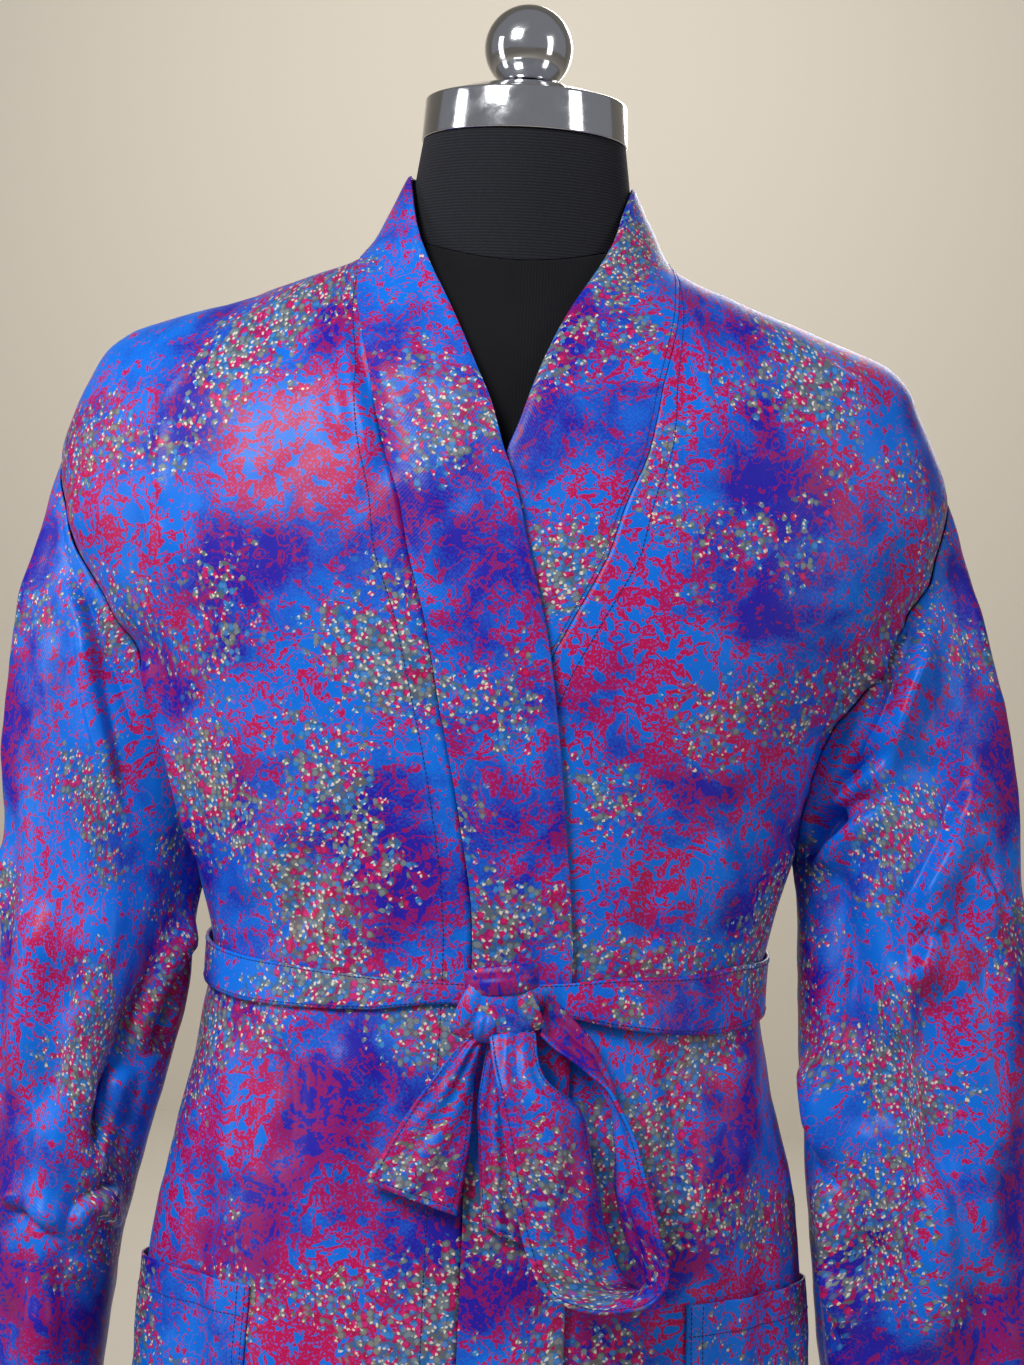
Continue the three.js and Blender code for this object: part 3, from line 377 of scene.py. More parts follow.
# %% Creases in front
CREASE = "x0 z0 x1 z1 x2 z2 half deep sharp"
FRONT_CREASES = table(CREASE, [
    # press lines of the folded robe on the wearer's right: shoulder, down the chest
    [-120, 1447, -150, 1432, -178, 1414, 6, 2.8, 0.9], [-178, 1414, -197, 1387, -202, 1375, 6, 3.4, 0.9],
    [-202, 1375, -201, 1346, -199, 1311, 6, 3.4, 0.9], [-199, 1311, -193, 1279, -182, 1206, 6, 2.5, 0.9],
    [-211, 1326, -205, 1307, -195, 1263, 5, 2.4, 0.8],
    # cloth that hangs from that shoulder into the sleeve
    [-262, 1336, -241, 1278, -215, 1235, 10, 8.4, -1], [-215, 1235, -190, 1185, -168, 1093, 10, 9.8, -1],
    [-218, 1123, -242, 1225, -252, 1278, 10, 7, -1], [-268, 1326, -244, 1266, -206, 1170, 5, -7.8, 0.4],
    [-240, 1340, -222, 1280, -196, 1230, 9, 3.2, 0.2], [-275, 1290, -268, 1220, -245, 1120, 12, 5.7, 0.2],
    # beside the band, where the doubled cloth pulls on the single
    [-95, 1421, -79, 1379, -67, 1331, 7, -5.5, 0.2], [-112, 1428, -102, 1390, -92, 1350, 8, 2.9, 0.1],
    [-65, 1443, -59, 1418, -54, 1385, 5, 3, 0.9], [-101, 1436, -91, 1396, -74, 1340, 5, 3.5, 0.5],
    [-49, 1350, -44, 1320, -38, 1280, 5, 2, 0.8], [-36, 1240, -20, 1190, -8, 1140, 6, -2, 0.4],
    # press lines on the wearer's left
    [118, 1439, 147, 1413, 168, 1397, 6, 3.4, 0.9], [168, 1397, 178, 1388, 187, 1382, 6, 2.8, 0.9],
    [173, 1420, 198, 1408, 217, 1395, 5, 2.5, 0.8], [107, 1429, 110, 1408, 111, 1370, 5, 2.1, 0.8],
    [51, 1380, 61, 1382, 72, 1385, 4, -1.8, 0.5], [48, 1362, 60, 1366, 74, 1368, 4, -1.7, 0.4],
    # the gathered cloth at the left armhole
    [246, 1312, 245, 1270, 239, 1225, 9, 5.5, 0.4], [240, 1274, 229, 1257, 217, 1238, 10, 6.6, 0.3],
    [245, 1282, 238, 1222, 226, 1167, 10, 7.8, 0.4], [225, 1258, 203, 1222, 179, 1192, 12, 7.5, 0.3],
    [232, 1229, 204, 1186, 185, 1163, 10, 7, 0.3], [250, 1262, 236, 1222, 214, 1190, 9, 8.4, -1],
    [214, 1246, 196, 1216, 176, 1180, 9, -5.7, 0], [222, 1212, 200, 1184, 184, 1166, 7, -5.7, 0],
    [183, 1156, 186, 1143, 181, 1130, 12, -8.8, 0], [236, 1260, 222, 1210, 200, 1160, 7, -5.3, 0],
    [222, 1318, 232, 1302, 244, 1286, 6, -3.1, 0.5], [243, 1278, 217, 1246, 184, 1198, 11, 8.5, 0.5],
    [246, 1270, 222, 1237, 189, 1190, 8, -6.5, 0], [244, 1269, 239, 1230, 229, 1184, 9, 7.8, 0.5],
    [188, 1160, 207, 1181, 228, 1197, 5, -7.8, 0.3], [232, 1190, 211, 1174, 191, 1153, 8, 8.4, -1],
    [235, 1164, 209, 1146, 191, 1120, 10, 12.6, -1], [205, 1157, 194, 1152, 184, 1147, 9, -9.1, 0],
    [241, 1366, 244, 1330, 244, 1286, 5, 2.8, 0.9],
    # down the left sleeve
    [182, 1130, 202, 1158, 226, 1172, 7, -11.7, 0.2], [186, 1129, 179, 1116, 181, 1046, 8, 6.6, 0.4],
    [221, 1142, 214, 1087, 206, 1037, 5, 4.2, 0.9], [206, 1037, 203, 1000, 202, 968, 5, 3.6, 0.9],
    [285, 1191, 262, 1133, 245, 1101, 12, 10.5, -1], [245, 1101, 252, 1095, 258, 1089, 7, 7, -1],
    [257, 1092, 253, 1078, 247, 1059, 8, 7, -1], [292, 1083, 289, 1112, 277, 1131, 8, 7.7, -1],
    [308, 1097, 299, 1109, 295, 1125, 7, 7, -1],
    [262, 1122, 274, 1104, 276, 1082, 8, -6.6, 0.1], [240, 1120, 238, 1092, 244, 1066, 8, -6.6, 0],
    [220, 1051, 228, 1004, 222, 967, 12, -7.8, 0.2], [255, 1065, 264, 1012, 279, 908, 15, -11.1, 0],
    [296, 1070, 300, 1010, 306, 940, 14, 8.8, 0.1], [240, 1040, 245, 980, 250, 900, 13, -8.8, 0],
    [296, 1098, 297, 1089, 297, 1079, 7, 3.6, 0.4], [250, 1200, 262, 1170, 285, 1140, 12, -6.6, 0],
    [184, 1011, 197, 982, 201, 943, 9, 11.2, -1], [201, 943, 203, 906, 225, 836, 9, 11.2, -1],
    [195, 975, 197, 931, 210, 874, 7, -7.8, 0], [238, 914, 225, 895, 212, 878, 12, -6.5, 0],
    [262, 960, 266, 900, 262, 830, 14, 8.8, 0],
    [320, 1010, 322, 930, 326, 850, 12, -6.6, 0], [290, 900, 300, 850, 300, 790, 12, -7.8, 0],
    # down the right sleeve, with the elbow's wrinkles
    [-205, 991, -194, 1031, -171, 1083, 10, 11.2, -1], [-230, 911, -218, 959, -209, 990, 10, 9.8, -1],
    [-188, 1002, -182, 1035, -173, 1068, 6, 6.3, -1], [-198, 992, -188, 1031, -171, 1072, 7, -9.1, 0],
    [-240, 1060, -244, 1010, -262, 950, 13, -8.8, 0],
    [-262, 1090, -268, 1030, -274, 960, 12, 7.5, 0.1], [-222, 1100, -226, 1050, -240, 1000, 10, 6.6, 0.1],
    [-278, 911, -261, 908, -239, 891, 7, 6, -1], [-210, 917, -229, 910, -239, 891, 7, 7, -1],
    [-217, 867, -245, 885, -261, 908, 8, 6, 0.4], [-230, 910, -219, 901, -212, 889, 6, 5, -1],
    [-279, 896, -274, 908, -266, 916, 6, 4, 0.5], [-258, 900, -241, 883, -219, 876, 6, -5, 0.2],
    [-274, 908, -251, 897, -242, 888, 5, -4.5, 0.2], [-251, 1027, -237, 991, -223, 954, 9, 4, 0.3],
    [-248, 1255, -241, 1199, -224, 1153, 6, 4, -1], [-256, 860, -250, 820, -256, 780, 12, 6, 0],
    [-274, 860, -272, 820, -270, 790, 9, -5.7, 0],
    # above and below the sash, where it takes in the width
    [-150, 1100, -128, 1118, -110, 1160, 10, 4.8, 0], [-120, 1078, -104, 1100, -96, 1140, 9, -3.6, 0],
    [-70, 1070, -62, 1090, -58, 1130, 7, 2.6, 0.1], [150, 1098, 134, 1118, 126, 1150, 10, 4.8, 0],
    [96, 1076, 90, 1096, 92, 1130, 8, -3.2, 0], [121, 940, 123, 916, 123, 896, 7, 3.6, 0.2],
    [140, 920, 139, 904, 139, 888, 7, 3.6, 0.2], [-150, 1020, -146, 980, -150, 920, 12, 5.7, 0],
    [-118, 1022, -110, 985, -112, 930, 9, -5.3, 0], [-86, 1020, -82, 980, -86, 920, 9, 3.6, 0],
    [-60, 1016, -58, 985, -62, 950, 7, -2.9, 0], [104, 1024, 112, 985, 114, 930, 10, -5.7, 0],
    [146, 1026, 152, 985, 156, 940, 10, 5.7, 0],
    # the skirt below the pockets
    [-110, 640, -104, 480, -112, 300, 16, 8.8, 0], [96, 620, 104, 460, 98, 260, 16, -8.8, 0],
    [140, 560, 150, 400, 146, 240, 14, 8.8, 0], [-60, 560, -54, 430, -58, 330, 12, -6.6, 0],
])
print(len(FRONT_CREASES["half"]), "creases in front")

# %% Creases behind and at the sides
BACK_CREASES = table(CREASE, [
    # the press line down the middle and the one across, from the folded robe
    [0, 1440, 1, 1300, 0, 1130, 6, 2.8, 0.9], [-150, 1262, 0, 1256, 150, 1264, 6, 2.4, 0.9],
    # pulls from the shoulder blades to the sash
    [-196, 1376, -150, 1262, -70, 1130, 16, -8.8, 0], [190, 1370, 138, 1250, 78, 1120, 18, -9.8, 0],
    [-120, 1340, -104, 1240, -52, 1140, 12, 5.7, 0.1], [110, 1330, 86, 1230, 44, 1150, 13, 6.6, 0.1],
    [-226, 1330, -206, 1262, -170, 1190, 12, 7.5, 0.2], [222, 1322, 204, 1250, 176, 1180, 11, 7, 0.2],
    [-206, 1280, -186, 1220, -160, 1170, 8, -6.2, 0], [210, 1270, 190, 1216, 166, 1160, 8, -6.6, 0],
    [-88, 1440, -60, 1420, 0, 1412, 8, -2.9, 0.1], [84, 1436, 52, 1420, 8, 1410, 8, -2.6, 0.1],
    # gathered by the sash
    [-140, 1090, -132, 1120, -136, 1160, 9, 5.3, 0.1], [-104, 1084, -100, 1110, -108, 1146, 8, -3.6, 0],
    [-66, 1084, -62, 1106, -66, 1140, 8, 3.6, 0], [58, 1084, 62, 1112, 56, 1150, 9, 4.8, 0.1],
    [98, 1086, 100, 1112, 94, 1140, 8, -4.8, 0], [134, 1088, 130, 1120, 138, 1156, 9, 4.8, 0.1],
    [-20, 1082, -22, 1102, -18, 1130, 7, -2.9, 0], [22, 1082, 20, 1100, 26, 1126, 7, 2.6, 0],
    # down the sleeves
    [-262, 1320, -250, 1240, -236, 1150, 11, 6.6, 0.2], [-282, 1230, -270, 1150, -262, 1060, 12, -7.5, 0],
    [-238, 1130, -246, 1050, -252, 950, 14, 8.8, 0], [-270, 910, -252, 902, -234, 890, 9, 7.9, 0.4],
    [-276, 884, -252, 880, -236, 868, 8, 6.6, 0.4], [-262, 896, -246, 890, -236, 878, 6, -5.7, 0],
    [-250, 860, -254, 820, -256, 770, 12, 7.5, 0], [256, 1312, 262, 1240, 250, 1150, 11, 6.6, 0.2],
    [290, 1230, 300, 1160, 296, 1080, 12, -7.9, 0], [240, 1150, 246, 1060, 252, 960, 14, 9.2, 0],
    [270, 1100, 286, 1084, 308, 1078, 9, 8.5, 0.4], [264, 1076, 284, 1064, 306, 1062, 8, 7, 0.4],
    [276, 1050, 290, 960, 296, 850, 14, -9.8, 0], [240, 900, 246, 850, 250, 790, 12, 7.5, 0],
    # below the sash and down the skirt
    [-120, 1026, -116, 980, -124, 920, 10, 5.7, 0], [-70, 1026, -68, 980, -64, 930, 9, -5.3, 0],
    [40, 1026, 44, 980, 40, 930, 9, 4.8, 0], [100, 1028, 108, 980, 104, 926, 10, -5.7, 0],
    [-96, 760, -90, 560, -98, 330, 16, -8.8, 0], [70, 720, 76, 520, 70, 300, 16, 8.8, 0],
    [150, 640, 156, 480, 150, 280, 13, -7.5, 0], [-30, 560, -26, 420, -32, 280, 13, 6.6, 0],
])
SIDE_CREASES = table(CREASE, [
    # seen from the side, with the front to the left: the outside of the sleeves
    [-30, 1330, -18, 1230, -26, 1120, 12, 5.1, 0.2], [10, 1320, 16, 1220, 8, 1100, 12, -5.8, 0],
    [34, 1290, 30, 1180, 34, 1080, 10, 4.8, 0.2], [-36, 1110, -4, 1092, 34, 1098, 9, 6.1, 0.4],
    [-34, 1086, 0, 1070, 36, 1072, 8, 5.1, 0.4], [-28, 1098, 4, 1082, 34, 1086, 7, -4.8, 0],
    [-24, 1050, -20, 950, -26, 850, 14, 6.8, 0], [8, 1030, 12, 930, 6, 830, 14, -6.8, 0],
    [36, 1010, 34, 900, 38, 800, 12, 5.8, 0], [-34, 900, -4, 888, 30, 894, 9, 5.1, 0.3],
    [-30, 876, 0, 866, 32, 870, 8, 4.4, 0.3],
])
print(len(BACK_CREASES["half"]), "creases behind and", len(SIDE_CREASES["half"]), "at the sides")

# %% Cloth moved by its creases
CREASE_STEPS = 10
CRUMPLE = 0.55  # millimetres of unevenness between the creases
STEEP_CREST, STEEP_SHARE, SOFT_SHARE = 1.5, 0.38, 1.3  # the shape of a fold that leans over


def crease_height(x, z, creases):
    """How far a table of creases lifts points that are seen at x and z."""
    height = np.zeros(x.shape)
    share = np.linspace(0, 1, CREASE_STEPS + 1)
    for x0, z0, x1, z1, x2, z2, half, deep, sharp in zip(*creases.values()):
        bend_x, bend_z = 2 * x1 - (x0 + x2) / 2, 2 * z1 - (z0 + z2) / 2
        px = (1 - share) ** 2 * x0 + 2 * share * (1 - share) * bend_x + share**2 * x2
        pz = (1 - share) ** 2 * z0 + 2 * share * (1 - share) * bend_z + share**2 * z2
        near = (x > px.min() - 2 * half) & (x < px.max() + 2 * half)
        near &= (z > pz.min() - 2 * half) & (z < pz.max() + 2 * half)
        if not near.any():
            continue
        at = np.stack([x[near], z[near]], -1)
        best = np.full(len(at), 1e9)
        along, hand = np.zeros(len(at)), np.zeros(len(at))
        for step in range(CREASE_STEPS):
            a = np.array([px[step], pz[step]])
            run = np.array([px[step + 1], pz[step + 1]]) - a
            t = np.clip(((at - a) @ run) / (run @ run), 0, 1)
            away = np.linalg.norm(at - a - t[:, None] * run, axis=1)
            nearer = away < best
            along = np.where(nearer, (step + t) / CREASE_STEPS, along)
            hand = np.where(nearer, run[0] * (at - a)[:, 1] - run[1] * (at - a)[:, 0], hand)
            best = np.minimum(best, away)
        d = best / half
        if sharp < 0:
            steep = STEEP_CREST * np.exp(-((d / STEEP_SHARE) ** 2)) + (1 - STEEP_CREST) * np.exp(-d * d)
            shape = np.where(hand < 0, steep, np.exp(-((d / SOFT_SHARE) ** 2)))
        else:
            shape = lerp(np.exp(-d * d), np.exp(-2 * d), sharp)
        fades = smooth(along, 0, 0.25) * smooth(1 - along, 0, 0.25)
        height[near] += deep * shape * fades
    return height


def crumpled(x, z):
    """The slight unevenness of slack cloth, at a width and a height."""
    turn_x = x + 9 * np.sin(z / 23 + 1) + 5 * np.sin(z / 9.5)
    turn_z = z + 10 * np.sin(x / 19 + 2) + 4 * np.sin(x / 8)
    wide = np.sin(turn_x / 11 + turn_z / 29) * np.sin(turn_z / 17 - turn_x / 31)
    fine = np.sin(turn_x / 5.1 - turn_z / 13) * np.sin(turn_z / 7.3 + turn_x / 17)
    return CRUMPLE * (wide + 0.45 * fine)


def creased(points, normals):
    """Points moved by the creases of the side that they face."""
    facing = -normals[..., 1]
    front = crease_height(points[..., 0], points[..., 2], FRONT_CREASES) * smooth(facing, 0.05, 0.5)
    back = crease_height(points[..., 0], points[..., 2], BACK_CREASES) * smooth(-facing, 0.05, 0.5)
    flank = np.abs(normals[..., 0]) * smooth(np.abs(points[..., 0]), 200, 230)
    aside = crease_height(points[..., 1], points[..., 2] + 6 * np.sign(points[..., 0]), SIDE_CREASES)
    height = front + back + aside * smooth(flank, 0.5, 0.85) + crumpled(points[..., 0], points[..., 2])
    return points + height[..., None] * normals


def cloth_on_body(name, level, degrees, offset, thickness, corner, hung=True):
    """A sheet on the draped surface; offset is the distance of its outer face."""
    level, degrees, offset = np.broadcast_arrays(level, degrees, offset)
    smooth_cloth = on_body(level, degrees, offset)
    points = creased(smooth_cloth, normal_of(draped_body, level, degrees, HEM))
    flip = (degrees[0, -1] - degrees[0, 0]) < 0
    piece = grid_mesh(name, points, flat_cloth(smooth_cloth, corner, hung), flip=bool(flip))
    return thicken(piece, thickness), points


lift = crease_height(np.array([-199.0]), np.array([1340.0]), FRONT_CREASES)
print("the press line on the right chest lifts the cloth", lift.round(1), "mm")

# %% [markdown]
# ## Fronts, back and neckband
#
# A tailor sews each front to the band along a slanting edge, and the fronts to the back along the sides.
# The seams are functions of the level, so that neighbours share them. The right front lies on top: it is
# lifted a few millimetres where it crosses the left one.

# %% Seams
WALL = 1.4  # thickness of the CAD cloth
BAND_WALL = 1.8
SEAM_GAP = 0.4
CLOTH_OFFSET = 0.8
OVERLAP_LIFT = 4.2
SHEET = 1.1  # thickness of the modelled cloth, a little less than the CAD wall
DOUBLED_LESS = 0.3  # doubled cloth is modelled this much thinner than its CAD wall
BAND_RIGHT = table("seamX seamZ edgeX edgeZ", [
    [-92, 1452, -61, 1498], [-84, 1410, -40, 1442], [-74, 1366, -19, 1396], [-60, 1322, -2, 1350],
    [-46, 1268, 17, 1283], [-34, 1213, 30, 1222], [-21, 1155, 38, 1158], [-11, 1100, 44, 1100],
    [-9, 1058, 46, 1058], [-8, 920, 50, 920], [-9, 500, 52, 500], [-9, HEM_Z, 53, HEM_Z],
])
BAND_LEFT = table("seamX seamZ edgeX edgeZ", [
    [93, 1452, 58, 1498], [88, 1411, 35.5, 1449], [81, 1374, 17, 1410], [70, 1338, 2, 1366],
    [57, 1298, -10, 1326], [41, 1266, -23, 1286], [20, 1222, -44, 1232], [6, 1160, -56, 1162],
    [2, 1100, -60, 1100], [1, 1058, -61, 1058], [0, 500, -62, 500], [0, HEM_Z, -62, HEM_Z],
])
SHOULDER_TURN = 80
EDGE_TURN = 78
COLLAR_TURN = 82
EDGE_DROP = 0.12
CENTRE_GAP = 0.15
ARMHOLE_SPREAD = 15
SIDE_SEAM_BACK = 10
FINE_STEP, COARSE_STEP, FINE_ABOVE = 4.0, 7.0, 760  # rows lie this far apart, finer above a height


def locate_band(rows):
    """A band's seam and free edge as levels and angles, from where the photograph shows them."""
    side = np.sign(rows["seamX"][0])
    seam_level, seam = locate(rows["seamX"], rows["seamZ"])
    edge_level, edge = locate(rows["edgeX"], rows["edgeZ"])
    seam_level[-1] = edge_level[-1] = HEM
    return {
        "level": np.append(NECK_SEAM, seam_level), "seam": np.append(side * SHOULDER_TURN, seam),
        "edge": np.append(side * EDGE_TURN, edge), "edgeLevel": np.append(EDGE_DROP, edge_level),
    }


def band_at(band, column, level):
    return sample(band, column, row_at(band, "level", level))


def overlap(level, degrees):
    """How far the right front is lifted over the left one."""
    return OVERLAP_LIFT * smooth(degrees, -62, -34) * smooth(level, 2.6, 4.4)


def right_offset(level, degrees):
    return CLOTH_OFFSET + overlap(level, degrees)


def left_offset(level, degrees):
    return np.full(np.broadcast(level, degrees).shape, CLOTH_OFFSET)


def armhole_span(level):
    share = np.clip((level - ARMHOLE_TOP) / (ARMHOLE_FOOT - ARMHOLE_TOP), 0, 1)
    return ARMHOLE_SPREAD * np.maximum(np.sin(np.pi * share), 0) ** 0.8


def side_seam(level):
    return 90 + SIDE_SEAM_BACK * smooth(level, ARMHOLE_FOOT, 15)


def even_levels(low, high):
    """Levels whose rows lie at an even distance, finer above the pockets than below."""
    fine = np.linspace(low, high, 800)
    z = plain_body(fine, 50.0)[:, 2]
    steps = np.abs(np.diff(z)) / np.where(z[1:] > FINE_ABOVE, FINE_STEP, COARSE_STEP)
    rows = np.append(0, steps.cumsum())
    return np.interp(np.linspace(0, rows[-1], int(rows[-1]) + 1), rows, fine)


def gap_degrees(level, degrees, gap):
    """Degrees that make a gap of a given size at a place on the body."""
    arc = np.linalg.norm(draped_body(level, degrees + 1) - draped_body(level, degrees - 1), axis=-1) / 2
    return gap / arc


SIDES = {
    "left": {"side": 1, "band": locate_band(BAND_LEFT), "offset": left_offset},
    "right": {"side": -1, "band": locate_band(BAND_RIGHT), "offset": right_offset},
}
LEVELS = even_levels(NECK_SEAM, HEM)
print(len(LEVELS), "rows from the neck seam to the hem")

# %% [markdown]
# ## The printed satin
#
# Satin is woven with long threads floating on its face, so light slides along it: a soft, broad gloss that
# brightens on every fold. Its dye is printed into the threads, so the colours change and the gloss does not.
# The print is marbled: a blue ground, violet clouds, crimson veins, rings and blotches, and patches of small
# dots like pebbles, with pale lights among them. It could be painted as a picture, but noise and cell
# patterns give a marbling of the same scale without one, and the UV map keeps them at their size in
# millimetres on every piece.

# %% Colours and a helper for nodes
def linear(code):
    """The renderer's linear colour for an sRGB hex code."""
    parts = [int(code[i:i + 2], 16) / 255 for i in (0, 2, 4)]
    return [c / 12.92 if c <= 0.04045 else ((c + 0.055) / 1.055) ** 2.4 for c in parts] + [1]


def node(tree, kind, links=None, out=0, **settings):
    """Adds a node, sets its options, fills or links its inputs and returns one of its outputs."""
    made = tree.nodes.new("ShaderNode" + kind)
    for name, value in settings.items():
        setattr(made, name, value)
    for place, value in (links or {}).items():
        if isinstance(value, bpy.types.NodeSocket):
            tree.links.new(value, made.inputs[place])
        else:
            made.inputs[place].default_value = value
    return made.outputs[out]


def blank(name, **sockets):
    """A new material, its node tree and its shader; sockets are named with _ for a space."""
    material = bpy.data.materials.new(name)
    material.use_nodes = True
    shader = material.node_tree.nodes["Principled BSDF"]
    for socket, value in sockets.items():
        shader.inputs[socket.replace("_", " ")].default_value = value
    return material, material.node_tree, shader


def millimetres(tree):
    """The place on the flat cloth in millimetres."""
    flat = node(tree, "UVMap", uv_map="cloth")
    return node(tree, "VectorMath", {0: flat, "Scale": 1000}, operation="SCALE")


print("azure in linear light", [round(c, 3) for c in linear("0678f0")])

# %% Satin: ground, clouds and marbling
CLOUD_SIZE = 90  # millimetres across a dark cloud
SWIRL_SIZE = 38
SWIRL_REACH = 30  # how far the dye is dragged
VEIN_SIZE = 17
RING_SIZE = 12
BLOTCH_SIZE = 7.5
SPECKLE_SIZE = 1.7  # the grain of the print, drawn a little coarser than the real 1 mm so that it shows
satin, tree, satin_shader = blank("printed satin", IOR=1.54, Specular_IOR_Level=0.25, Sheen_Weight=0.03,
                                  Sheen_Roughness=0.3, Sheen_Tint=linear("b9b4ff"))
cloth = millimetres(tree)
swirl = node(tree, "TexNoise", {"Vector": cloth, "Scale": 1 / SWIRL_SIZE, "Detail": 2}, out=1)
swirl = node(tree, "VectorMath", {0: swirl, "Scale": SWIRL_REACH}, operation="SCALE")
swirled = node(tree, "VectorMath", {0: cloth, 1: swirl}, operation="ADD")
speckle = node(tree, "TexNoise", {"Vector": cloth, "Scale": 1 / SPECKLE_SIZE, "Detail": 1, "Roughness": 0.6})
clouds = node(tree, "TexNoise", {"Vector": swirled, "Scale": 1 / CLOUD_SIZE, "Detail": 3, "Roughness": 0.6})
dusted = node(tree, "Math", {0: speckle, 1: 0.16, 2: -0.08}, operation="MULTIPLY_ADD")
dusted = node(tree, "Math", {0: dusted, 1: clouds}, operation="ADD")
dark_share = node(tree, "MapRange", {0: dusted, 1: 0.45, 2: 0.6})
ground = node(tree, "Mix", {0: dark_share, 6: linear("0678f0"), 7: linear("261cb0")}, 2, data_type="RGBA")

# A vein runs where a field has one value, and so does a ring. Both thin out from place to place.
drift = node(tree, "SeparateColor", {0: clouds.node.outputs["Color"]}, 1)
thin_out = node(tree, "Math", {0: drift, 1: -0.21, 2: 0.114}, operation="MULTIPLY_ADD")
veins = node(tree, "TexNoise", {"Vector": swirled, "Scale": 1 / VEIN_SIZE, "Detail": 3, "Roughness": 0.64})
rings = node(tree, "TexVoronoi", {"Vector": swirled, "Scale": 1 / RING_SIZE})
lines = []
for field, middle, near, far in ((veins, 0.5, 0.025, 0.032), (rings, 0.27, 0.035, 0.05)):
    field = node(tree, "Math", {0: field, 1: middle}, operation="SUBTRACT")
    field = node(tree, "Math", {0: field}, operation="ABSOLUTE")
    field = node(tree, "Math", {0: field, 1: thin_out}, operation="ADD")
    lines.append(node(tree, "MapRange", {0: field, 1: near, 2: far, 3: 1, 4: 0}))
blotches = node(tree, "TexNoise", {"Vector": swirled, "Scale": 1 / BLOTCH_SIZE, "Detail": 3,
                                   "Roughness": 0.75})
blotches = node(tree, "Math", {0: blotches, 1: thin_out}, operation="SUBTRACT")
blotches = node(tree, "MapRange", {0: blotches, 1: 0.55, 2: 0.565})
marbling = node(tree, "Math", {0: lines[0], 1: lines[1]}, operation="MAXIMUM")
marbling = node(tree, "Math", {0: marbling, 1: blotches}, operation="MAXIMUM")
grain = node(tree, "MapRange", {0: speckle, 1: 0.34, 2: 0.44, 3: 0.3, 4: 1})
marbling = node(tree, "Math", {0: marbling, 1: grain}, operation="MULTIPLY")
crimson = node(tree, "Mix", {0: dark_share, 6: linear("c80c58"), 7: linear("98106c")}, 2, data_type="RGBA")
marbled = node(tree, "Mix", {0: marbling, 6: ground, 7: crimson}, 2, data_type="RGBA")
print("veins about", VEIN_SIZE, "mm apart on clouds of", CLOUD_SIZE, "mm")

# %% Satin: patches of pebbles
PATCH_SIZE = 95
PEBBLE_SIZE = 3.4
STRAY_SIZE, STRAY_REACH = 2.5, 2.2  # the lights stray from the pebbles' middles
pebbles = node(tree, "TexVoronoi", {"Vector": cloth, "Scale": 1 / PEBBLE_SIZE, "Randomness": 0.85})
tints = node(tree, "SeparateColor", {0: pebbles.node.outputs["Color"]})
patches = node(tree, "TexNoise", {"Vector": cloth, "Scale": 1 / PATCH_SIZE, "Detail": 1})
ragged = node(tree, "Math", {0: tints, 1: 0.18, 2: -0.09}, operation="MULTIPLY_ADD")
patches = node(tree, "Math", {0: patches, 1: ragged}, operation="ADD")
patches = node(tree, "MapRange", {0: patches, 1: 0.572, 2: 0.592})
second_tint = tints.node.outputs[1]
is_pink = node(tree, "Math", {0: second_tint, 1: 0.7}, operation="GREATER_THAN")
is_blue = node(tree, "Math", {0: second_tint, 1: 0.3}, operation="LESS_THAN")
stone = node(tree, "Mix", {0: is_blue, 6: linear("84928c"), 7: linear("3f8fd8")}, 2, data_type="RGBA")
stone = node(tree, "Mix", {0: is_pink, 6: stone, 7: linear("e01a68")}, 2, data_type="RGBA")
edge = node(tree, "MapRange", {0: pebbles, 1: 0.42, 2: 0.58, 3: 1, 4: 0.55})
stone = node(tree, "VectorMath", {0: stone, "Scale": edge}, operation="SCALE")
stone_share = node(tree, "Math", {0: patches, 1: 0.88}, operation="MULTIPLY")
pebbled = node(tree, "Mix", {0: stone_share, 6: marbled, 7: stone}, 2, data_type="RGBA")
beside = node(tree, "TexNoise", {"Vector": cloth, "Scale": 1 / STRAY_SIZE, "Detail": 1}, out=1)
beside = node(tree, "VectorMath", {0: beside, "Scale": STRAY_REACH}, operation="SCALE")
beside = node(tree, "VectorMath", {0: cloth, 1: beside}, operation="ADD")
lights = node(tree, "TexVoronoi", {"Vector": beside, "Scale": 1 / PEBBLE_SIZE, "Randomness": 0.85})
lights = node(tree, "MapRange", {0: lights, 1: 0.21, 2: 0.33, 3: 1, 4: 0})
lights = node(tree, "Math", {0: lights, 1: patches}, operation="MULTIPLY")
lit = node(tree, "Math", {0: tints.node.outputs[2], 1: 0.16}, operation="GREATER_THAN")
lights = node(tree, "Math", {0: lights, 1: lit}, operation="MULTIPLY")
printed = node(tree, "Mix", {0: lights, 6: pebbled, 7: linear("e8e2d0")}, 2, data_type="RGBA")
print("pebbles of", PEBBLE_SIZE, "mm in patches of", PATCH_SIZE, "mm")

# %% Satin: the weave and the gloss
TWILL_SPACING = 1.5  # the real twill is near 0.3 mm; it is drawn coarser so that it shows
twill = node(tree, "TexWave", {"Vector": cloth, "Scale": math.pi / (5 * math.sqrt(2) * TWILL_SPACING)},
             1, bands_direction="DIAGONAL")
shade = node(tree, "MapRange", {0: twill, 3: 0.9, 4: 1.04})
printed = node(tree, "VectorMath", {0: printed, "Scale": shade}, operation="SCALE")
tree.links.new(printed, satin_shader.inputs["Base Color"])
gloss = node(tree, "MapRange", {0: speckle, 3: 0.34, 4: 0.46})
tree.links.new(gloss, satin_shader.inputs["Roughness"])
weave = node(tree, "Bump", {"Height": twill, "Strength": 0.12, "Distance": 0.0003})
tree.links.new(weave, satin_shader.inputs["Normal"])
print("twill drawn at", TWILL_SPACING, "mm")

